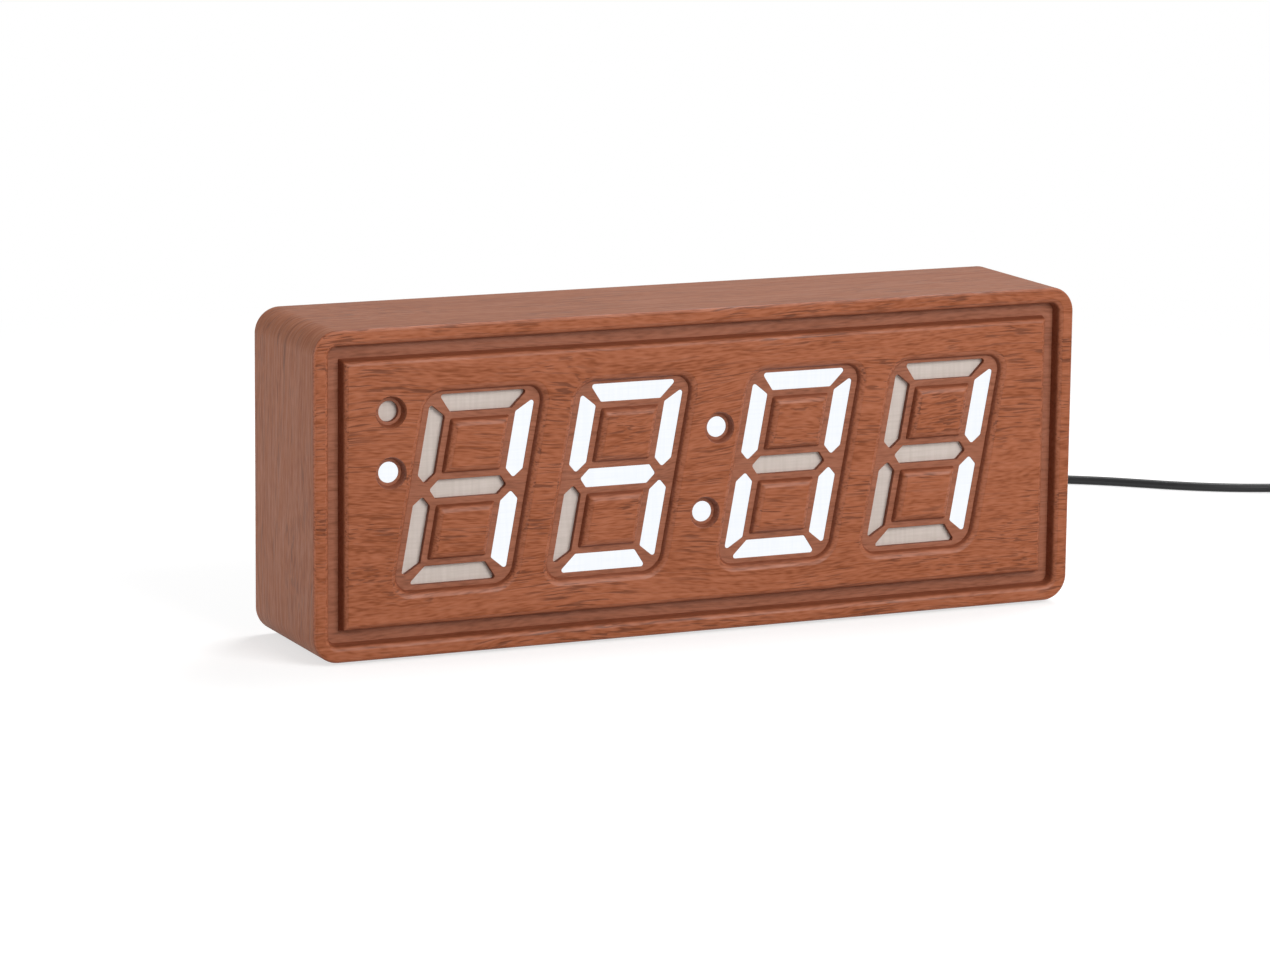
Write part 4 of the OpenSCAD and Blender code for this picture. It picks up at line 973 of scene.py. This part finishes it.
# %% [markdown]
# The milled front board
#
# A flat land runs round the edge, then a groove, then the raised panel. Each digit lies in a
# pocket with flat shoulders, and two islands stand in it. The windows of the strokes are cut
# through its floor. The board could be cut with booleans, but then every shoulder would end in
# stray triangles. Here it is built from the outlines instead: skins of quads for the sides and flat
# fields between them. One digit pocket and one dot pocket are made once, as open tiles, and
# Geometry Nodes copy them to their places and weld their rims to the board's.

# %% Sizes of the milling
LAND_W = 2.7
SHOULDER_W = 1.6
GROOVE_FLOOR_W = 2.8
GROOVE_DEPTH = 3.0
GROOVE_R = 1.8
PANEL_R = 0.3
BOARD_GAP = 0.02
POCKET_DEPTH = 1.8
POCKET_FLOOR_W = 1.5
POCKET_TOP_W = 0.7
POCKET_FOOT_W = 1.1
POCKET_SHOULDER_W = 1.8
POCKET_R = 4.2
ISLAND_SHOULDER_W = 1.8
ISLAND_R = 0.5
ISLAND_STEPS = 5
WINDOW_R = 0.6
WINDOW_STEPS = 4
WINDOW_EDGE = 0.12
WINDOW_EDGE_STEPS = 3
DOT_D = 5.0
DOT_FLOOR_D = 6.4
DOT_RIM_D = 7.8
DOT_STEPS = 48
DIGIT_Z = CASE_MID_Z
DIGITS_X = (-60.7, -22.1, 23.1, 61.7)
ALARM_X = -80.8
ALARM_HEIGHTS = (4.9, 19.3)
COLON_X = 1.9
COLON_GAP = 20.4
DOTS = [(ALARM_X, DIGIT_Z + height) for height in ALARM_HEIGHTS] + [
    (COLON_X + height * LEAN, DIGIT_Z + height) for height in (-COLON_GAP / 2, COLON_GAP / 2)
]
POCKET_Y = FRONT_Y + POCKET_DEPTH
FILM_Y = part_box("display_film")[0].y / MM
recess_low, recess_high = (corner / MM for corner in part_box("display_film"))
RECESS_GAP = 0.1
RECESS_R = 0.2
RECESS_STEPS = 3
RECESS_W = recess_high.x - recess_low.x + 2 * RECESS_GAP
RECESS_H = recess_high.z - recess_low.z + 2 * RECESS_GAP
print("recess:", round(RECESS_W, 2), "x", round(RECESS_H, 2), "mm, film at", round(FILM_Y, 2))

# %% Skins of the pockets and windows
def pocket_outline(out):
    """Outline of a digit's pocket, that far outside its foot"""
    width = DIGIT_W + 2 * POCKET_FLOOR_W + 2 * out
    height = DIGIT_H + POCKET_TOP_W + POCKET_FOOT_W + 2 * out
    middle = (POCKET_TOP_W - POCKET_FOOT_W) / 2
    points = rect_outline(width, height, POCKET_R + out, CORNER_STEPS, LEAN)
    return [(x + middle * LEAN, z + middle) for x, z in points]


def window_outline(points, grow=0.0):
    """Outline of a stroke's window"""
    return round_outline(grow_outline(points, grow), WINDOW_R + grow, WINDOW_STEPS)


def milled_skin(mesh, outline_at, width, depth, at=(0.0, 0.0)):
    """The skin of a milled side, from its outline that far outside its foot; gives foot and rim"""
    rows = [
        ring(mesh, outline_at(out), FRONT_Y + down, at) for out, down in milled_side(width, depth)
    ]
    skin(mesh, rows)
    return rows[0], rows[-1]


def window_walls(mesh, outline_at):
    """The walls of a window from its softened edge back to the film; gives the edge's ring"""
    rows = [
        ring(mesh, outline_at(out), POCKET_Y + down)
        for out, down in quarter_round(WINDOW_EDGE, WINDOW_EDGE_STEPS)
    ]
    rows.append(ring(mesh, outline_at(0.0), FILM_Y))
    skin(mesh, rows)
    return rows[0]


print("a window has", len(window_outline(STROKES[0])), "points")

# %% Digit and dot tiles
def digit_tile():
    """The pocket of one digit about its middle, open at its rim and behind its windows"""
    tile = bmesh.new()
    foot, _ = milled_skin(tile, pocket_outline, POCKET_SHOULDER_W, POCKET_DEPTH)
    holes = [
        window_walls(tile, lambda out, stroke=stroke: window_outline(stroke, out))
        for stroke in STROKES
    ]
    middle_half = MIDDLE_END_SHARES[2] * STROKE_W
    island_w = DIGIT_W - 2 * STROKE_W - 2 * POCKET_FLOOR_W
    island_h = half_h - STROKE_W - middle_half - 2 * POCKET_FLOOR_W
    island_z = (half_h - STROKE_W + middle_half) / 2

    def island_outline(out):
        return rect_outline(island_w - 2 * out, island_h - 2 * out, ISLAND_R, ISLAND_STEPS, LEAN)

    for z in (island_z, -island_z):
        island_foot, island_rim = milled_skin(
            tile, island_outline, ISLAND_SHOULDER_W, POCKET_DEPTH, (z * LEAN, z)
        )
        flat(tile, island_rim)
        holes.append(island_foot)
    flat(tile, foot, *holes)
    return tile


def dot_tile():
    """The round pocket of one dot, open at its rim and behind its window"""
    tile = bmesh.new()
    foot, _ = milled_skin(
        tile, lambda out: circle_outline(DOT_FLOOR_D + 2 * out, DOT_STEPS),
        (DOT_RIM_D - DOT_FLOOR_D) / 2, POCKET_DEPTH,
    )
    flat(tile, foot, window_walls(tile, lambda out: circle_outline(DOT_D + 2 * out, DOT_STEPS)))
    return tile


def helper_object(name, mesh):
    """A hidden object that a geometry tree reads"""
    data = bpy.data.meshes.new(name)
    mesh.to_mesh(data)
    mesh.free()
    return bpy.data.objects.new(name, data)


def places_object(name, places):
    """A mesh of single points, one for each place on the front"""
    mesh = bmesh.new()
    for x, z in places:
        mesh.verts.new((x * MM, 0.0, z * MM))
    return helper_object(name, mesh)


digit_tile_object = helper_object("digit tile", digit_tile())
dot_tile_object = helper_object("dot tile", dot_tile())
print("digit tile:", len(digit_tile_object.data.polygons), "faces")

# %% Board without its pockets
# The pilot holes for the screws of the light box lie between the recess and the sleeve.
SCREW_R = 1.05
SCREW_DEPTH = 2.6
SCREW_INSET = 1.9
SCREW_STEPS = 16
SCREWS = [
    (sx * (RECESS_W + CASE_W - 2 * WALL_T) / 4, CASE_MID_Z + sz * (RECESS_H / 2 - SCREW_INSET))
    for sx in (-1, 1) for sz in (-1, 1)
]


def board_blank():
    """The board with open rims where the tiles go, and with its recess behind"""
    board = bmesh.new()
    middle = (0.0, CASE_MID_Z)
    wall_inset = LAND_W + SHOULDER_W
    panel_inset = wall_inset + GROOVE_FLOOR_W
    edge = frame_outline(EDGE_R + BOARD_GAP, REBATE_R - BOARD_GAP, WRAP_STEPS)
    outside = [ring(board, edge, y, middle) for y in (BOARD_BACK_Y, FRONT_Y)]
    skin(board, outside)
    groove_foot, groove_rim = milled_skin(
        board, lambda out: frame_outline(wall_inset - out, GROOVE_R + out),
        SHOULDER_W, GROOVE_DEPTH, middle,
    )
    panel_foot, panel_rim = milled_skin(
        board, lambda out: frame_outline(panel_inset + out, PANEL_R),
        SHOULDER_W, GROOVE_DEPTH, middle,
    )
    flat(board, outside[1], groove_rim)
    flat(board, groove_foot, panel_foot)
    rims = [ring(board, pocket_outline(POCKET_SHOULDER_W), FRONT_Y, (x, DIGIT_Z)) for x in DIGITS_X]
    rims += [ring(board, circle_outline(DOT_RIM_D, DOT_STEPS), FRONT_Y, dot) for dot in DOTS]
    flat(board, panel_rim, *rims)
    recess = rect_outline(RECESS_W, RECESS_H, RECESS_R, RECESS_STEPS)
    walls = [ring(board, recess, y, middle) for y in (BOARD_BACK_Y, FILM_Y)]
    skin(board, walls)
    holes = [
        ring(board, window_outline(stroke), FILM_Y, (x, DIGIT_Z))
        for x in DIGITS_X for stroke in STROKES
    ]
    holes += [ring(board, circle_outline(DOT_D, DOT_STEPS), FILM_Y, dot) for dot in DOTS]
    flat(board, walls[1], *holes)
    pilots = []
    for at in SCREWS:
        pilot = circle_outline(2 * SCREW_R, SCREW_STEPS)
        pair = [ring(board, pilot, BOARD_BACK_Y - deep, at) for deep in (0.0, SCREW_DEPTH)]
        skin(board, pair)
        flat(board, pair[1])
        pilots.append(pair[0])
    flat(board, outside[0], walls[0], *pilots)
    return board


blank_object = helper_object("board blank", board_blank())
print("board blank:", len(blank_object.data.polygons), "faces")

# %% Tree that sets the tiles
def set_tiles_tree():
    """Copies a tile to each place of two sets, joins them to the board and welds the rims"""
    tree, given = new_tree("set tiles", {
        "Board": "Geometry", "Digit Tile": "Object", "Digit Places": "Object",
        "Dot Tile": "Object", "Dot Places": "Object", "Weld Distance": "Float",
        "Finish": "Material",
    }, "Board")
    joined = add(tree, "GeometryNodeJoinGeometry")
    tree.links.new(given["Board"], joined.inputs[0])
    for kind in ("Digit", "Dot"):
        tile, places = (
            add(tree, "GeometryNodeObjectInfo", {"Object": given[kind + role]}).outputs["Geometry"]
            for role in (" Tile", " Places")
        )
        copies = add(tree, "GeometryNodeInstanceOnPoints", {"Points": places, "Instance": tile})
        tree.links.new(copies.outputs[0], joined.inputs[0])
    real = add(tree, "GeometryNodeRealizeInstances", {"Geometry": joined.outputs[0]})
    welded = add(tree, "GeometryNodeMergeByDistance", {
        "Geometry": real.outputs[0], "Distance": given["Weld Distance"],
    })
    end_in_shape(tree, welded.outputs[0], given["Finish"])
    return tree


helpers = {
    "Digit Tile": digit_tile_object, "Dot Tile": dot_tile_object,
    "Digit Places": places_object("digit places", [(x, DIGIT_Z) for x in DIGITS_X]),
    "Dot Places": places_object("dot places", DOTS),
}
milled_board = grown("milled_board", set_tiles_tree(), {
    **helpers, "Weld Distance": WELD, "Finish": FINISHES["wood_front"],
}, blank_object.data)
for helper in (*helpers.values(), blank_object):
    bpy.data.objects.remove(helper)
milled_board.modifiers.new("even shading", "WEIGHTED_NORMAL").keep_sharp = True
place(milled_board, "clock", "wood_front", "front_board")
check = bmesh.new()
check.from_mesh(milled_board.data)
print("board:", len(check.faces), "faces,", sum(not e.is_manifold for e in check.edges), "open edges,",
      round(check.calc_volume() / MM ** 3), "mm3")
check.free()

# %% [markdown]
# The film and the lit strokes
#
# A thin film of white plastic lies behind the windows. Where no lamp shines it looks warm grey,
# with the faint crossed lines that its rollers left. A lit stroke fills its window with an even,
# slightly blue white. The lit strokes are thin slabs on the film, one for each window that shines.
# Geometry Nodes put them there: every lit window is a point that carries the number of its stroke,
# and that number picks the slab to copy.

# %% Film finish
FILM_LINES = ((14.0, 1.0, 0.5), (0.9, 1.0, 16.0))
FILM_MARKS = (0.15, 0.36)
FILM_RELIEF = 0.005


def film(name, line, base, lit=False):
    """Milky film with faint crossed lines, or the same film with a lamp behind it"""
    finish, tree = new_finish(name)
    spot = solid_place(tree)
    crossed = reckon(tree, "MULTIPLY", *(noise(tree, spot, size, 2.0) for size in FILM_LINES))
    marks = spread(tree, crossed, *FILM_MARKS)
    seen_as, inputs = "Base Color", {}
    if lit:
        seen_as = "Emission Color"
        inputs = {"Base Color": colour("#202226"), "Emission Strength": 1.0}
    end_in_surface(tree, {
        **inputs, seen_as: blend(tree, marks, line, base), "Roughness": 0.45, "IOR": 1.5,
        "Normal": bumps(tree, marks, FILM_RELIEF),
    })
    return finish


FINISHES["light_film"] = film("milky film", "#c5b9b0", "#cec2ba")
lit_film = film("milky film with a lamp behind", "#eef2f7", "#f3f6fa", lit=True)
print("finishes so far:", len(FINISHES))

# %% Tree that lights the strokes
def light_strokes_tree():
    """Puts the slab that each point's number names at that point"""
    tree, given = new_tree("light strokes", {
        "Points": "Geometry", "Slabs": "Collection", "Finish": "Material",
    }, "Lit Strokes")
    choice = add(tree, "GeometryNodeCollectionInfo", {
        "Collection": given["Slabs"], "Separate Children": True, "Reset Children": True,
    })
    stroke = add(tree, "GeometryNodeInputNamedAttribute", {"Name": "stroke"}, data_type="INT")
    copies = add(tree, "GeometryNodeInstanceOnPoints", {
        "Points": given["Points"], "Instance": choice.outputs[0], "Pick Instance": True,
        "Instance Index": stroke.outputs["Attribute"],
    })
    end_in_shape(tree, copies.outputs[0], given["Finish"])
    return tree


# Strokes A to G run clockwise from the top, and the middle one comes last: the clock shows 19:01.
TOP, UPPER_RIGHT, LOWER_RIGHT, BOTTOM, LOWER_LEFT, UPPER_LEFT, MIDDLE, DOT = range(8)
LIT_STROKES = [
    (UPPER_RIGHT, LOWER_RIGHT),
    (TOP, UPPER_RIGHT, LOWER_RIGHT, BOTTOM, UPPER_LEFT, MIDDLE),
    (TOP, UPPER_RIGHT, LOWER_RIGHT, BOTTOM, LOWER_LEFT, UPPER_LEFT),
    (UPPER_RIGHT, LOWER_RIGHT),
]
LIT_DOTS = (0, 2, 3)
SLAB_GAP = 0.02
SLAB_SINK = 0.1

slabs = bpy.data.collections.new("slabs")
outlines = [window_outline(stroke, -SLAB_GAP) for stroke in STROKES]
outlines.append(circle_outline(DOT_D - 2 * SLAB_GAP, DOT_STEPS))
for number, outline in enumerate(outlines):
    slab = bmesh.new()
    faces = [ring(slab, outline, y) for y in (POCKET_Y + WINDOW_EDGE, FILM_Y + SLAB_SINK)]
    skin(slab, faces)
    for face_ring in faces:
        flat(slab, face_ring)
    slabs.objects.link(helper_object("slab %d" % number, slab))

lit_places = [
    ((x, DIGIT_Z), stroke) for x, strokes in zip(DIGITS_X, LIT_STROKES) for stroke in strokes
]
lit_places += [(DOTS[i], DOT) for i in LIT_DOTS]
seeds = bpy.data.meshes.new("lit places")
seeds.from_pydata([(x * MM, 0.0, z * MM) for (x, z), _ in lit_places], [], [])
numbers = seeds.attributes.new("stroke", "INT", "POINT")
numbers.data.foreach_set("value", [stroke for _, stroke in lit_places])
lit_strokes = grown("lit_strokes", light_strokes_tree(), {
    "Slabs": slabs, "Finish": lit_film,
}, seeds)
for helper in list(slabs.objects):
    bpy.data.objects.remove(helper)
bpy.data.collections.remove(slabs)
place(lit_strokes, "clock", "light_film")
print("lit strokes and dots:", len(lit_places))

# %% [markdown]
# The back
#
# The rear cover, its battery door, four keys and four screws keep the solids' shapes, with the
# rounded edges that moulding and stamping leave. So do the power socket, the pads and the coin
# cell in its cup, which shows when the door is open. Every key rides on its own body, so it can be
# pressed, and the door turns on its pins.

# %% Cover, keys, door and screws
for node, name, width, body, slot in (
    ("rear_cover", "moulded_rear_cover", 0.2, "clock", "cover_black"),
    ("rear_screws", "sunk_rear_screws", 0.06, "clock", "screw_dark"),
    ("power_jack", "power_socket", 0.15, "clock", "switch_black"),
    ("case_pads", "rubber_pads", 0.25, "clock", "pad_rubber"),
    ("battery_door", "hinged_battery_door", 0.2, "battery_door_body", "cover_black"),
    ("mode_key", "mode_button", 0.2, "mode_key_body", "key_black"),
    ("down_key", "down_button", 0.2, "down_key_body", "key_black"),
    ("up_key", "up_button", 0.2, "up_key_body", "key_black"),
    ("alarm_key", "alarm_button", 0.2, "alarm_key_body", "key_black"),
    ("coin_cell", "steel_coin_cell", 0.15, "clock", "cell_steel"),
    ("cell_holder", "coin_cell_cup", 0.15, "clock", "switch_black"),
):
    place(softened(node, name, width), body, slot, node)

# %% [markdown]
# Circuit boards
#
# Green solder resist over copper: the resist is glossy, and the copper under it shows as lighter
# lines. Real tracks are drawn one by one. Little of the boards is seen, and only through the open
# battery door, so a brick pattern stands for them, with tracks about 0.7 mm wide.

# %% Circuit board finish
TRACK_CELL = 6.0
TRACK_RELIEF = 0.03


def circuit_board(name):
    """Glossy green resist with tracks under it"""
    finish, tree = new_finish(name)
    turned = add(tree, "ShaderNodeMapping", {
        "Vector": solid_place(tree), "Rotation": (math.pi / 2, 0, 0), "Scale": (1 / TRACK_CELL,) * 3,
    })
    tracks = add(tree, "ShaderNodeTexBrick", {
        "Vector": turned.outputs[0], "Scale": 1.0, "Mortar Size": 0.06, "Mortar Smooth": 0.2,
        "Color1": colour("#14502f"), "Color2": colour("#17573a"), "Mortar": colour("#2f7c50"),
    }).outputs
    end_in_surface(tree, {
        "Base Color": tracks["Color"], "Roughness": 0.3,
        "Normal": bumps(tree, tracks["Fac"], TRACK_RELIEF),
    })
    return finish


FINISHES["board_green"] = circuit_board("green solder resist")
print("finishes in all:", len(FINISHES))

# %% Finishes of the solids that stay
for subpart in frame["record"]["subparts"]:
    data = NODES[subpart["node"]].data
    data.materials.clear()
    data.materials.append(FINISHES[subpart["material_slot"]])

# %% [markdown]
# Floor, backdrop and light
#
# The photograph was taken on white, so the camera sees pure white all round: the world shines at 1
# for the camera and for what glass shows, less for what shiny surfaces mirror, and softly for the
# light that falls on the clock. Near the clock the floor is matt and adds a little light of its own
# for the camera, so that it looks white and still shows the shadow. Further out it fades to plain
# white.

# %% Floor and world
FLOOR_SIZE = 6.0
FLOOR_GLOW = 0.64
FADE_FROM, FADE_TO = 0.22, 0.5
WORLD_LIGHT = 0.18
FLOOR_MIRRORED = 0.7
WORLD_MIRRORED = 0.4
WHITE = colour("#ffffff")


def seen_share(tree, mirrored_share):
    """1 for a ray from the camera or through glass, that share for a mirrored one, 0 for others"""
    path = add(tree, "ShaderNodeLightPath").outputs
    mirrored = reckon(tree, "MULTIPLY", path["Is Glossy Ray"], mirrored_share)
    direct = reckon(tree, "MAXIMUM", path["Is Camera Ray"], path["Is Transmission Ray"])
    return reckon(tree, "MAXIMUM", direct, mirrored)


floor_mesh = bmesh.new()
bmesh.ops.create_grid(floor_mesh, x_segments=1, y_segments=1, size=FLOOR_SIZE / 2)
floor = new_piece("floor", floor_mesh)
floor_white, floor_tree = new_finish("white floor")
matt = add(floor_tree, "ShaderNodeBsdfDiffuse", {"Color": colour("#c0c0c0")})
glow = add(floor_tree, "ShaderNodeEmission", {"Color": WHITE, "Strength": FLOOR_GLOW})
near = add(floor_tree, "ShaderNodeAddShader", {0: matt.outputs[0], 1: glow.outputs[0]})
plain = add(floor_tree, "ShaderNodeEmission", {"Color": WHITE, "Strength": 1.0})
away = add(floor_tree, "ShaderNodeVectorMath", {
    0: add(floor_tree, "ShaderNodeTexCoord").outputs["Object"],
}, operation="LENGTH").outputs["Value"]
shown = add(floor_tree, "ShaderNodeMixShader", {
    0: spread(floor_tree, away, FADE_FROM, FADE_TO, kind=SMOOTH), 1: near.outputs[0],
    2: plain.outputs[0],
})
mixed = add(floor_tree, "ShaderNodeMixShader", {
    0: seen_share(floor_tree, FLOOR_MIRRORED), 1: matt.outputs[0], 2: shown.outputs[0],
})
add(floor_tree, "ShaderNodeOutputMaterial", {"Surface": mixed.outputs[0]})
floor.data.materials.append(floor_white)

world = bpy.data.worlds.new("white studio")
bpy.context.scene.world = world
world.use_nodes = True
world_tree = world.node_tree
world_tree.nodes.clear()
strength = spread(world_tree, seen_share(world_tree, WORLD_MIRRORED), 0.0, 1.0, WORLD_LIGHT, 1.0)
backdrop = add(world_tree, "ShaderNodeBackground", {"Color": WHITE, "Strength": strength})
add(world_tree, "ShaderNodeOutputWorld", {"Surface": backdrop.outputs[0]})
print("floor:", FLOOR_SIZE, "m wide, plain white from", FADE_TO, "m on")

# %% [markdown]
# Lamps
#
# In the photograph the sides of the milling that face left are nearly black, those that face up
# are lighter than the face, and the round top left corner of the case is darker than both walls
# beside it. So the main light is broad and comes from the front, the right and above. A second one
# stands above and behind the right end: it lights the top and leaves the front alone. The left wall
# is lit by a weak lamp near the floor, so far back that it does not reach into the grooves.

# %% Three soft lamps
LAMP_TARGET = Vector((0.0, 0.0, 0.04))
for name, at, size, watts in (
    ("front lamp", (0.55, -1.6, 0.92), 1.2, 31.0),
    ("right lamp", (0.7, 0.45, 1.35), 0.8, 13.0),
    ("left lamp", (-1.4, 0.15, 0.3), 0.5, 7.2),
):
    lamp = bpy.data.objects.new(name, bpy.data.lights.new(name, "AREA"))
    lamp.data.size = size
    lamp.data.energy = watts
    lamp.location = at
    lamp.rotation_euler = (LAMP_TARGET - Vector(at)).to_track_quat("-Z", "Y").to_euler()
    bpy.context.scene.collection.objects.link(lamp)
    print(name, "at", at, ":", watts, "W")

# %% Colour management
bpy.context.scene.view_settings.view_transform = "Standard"
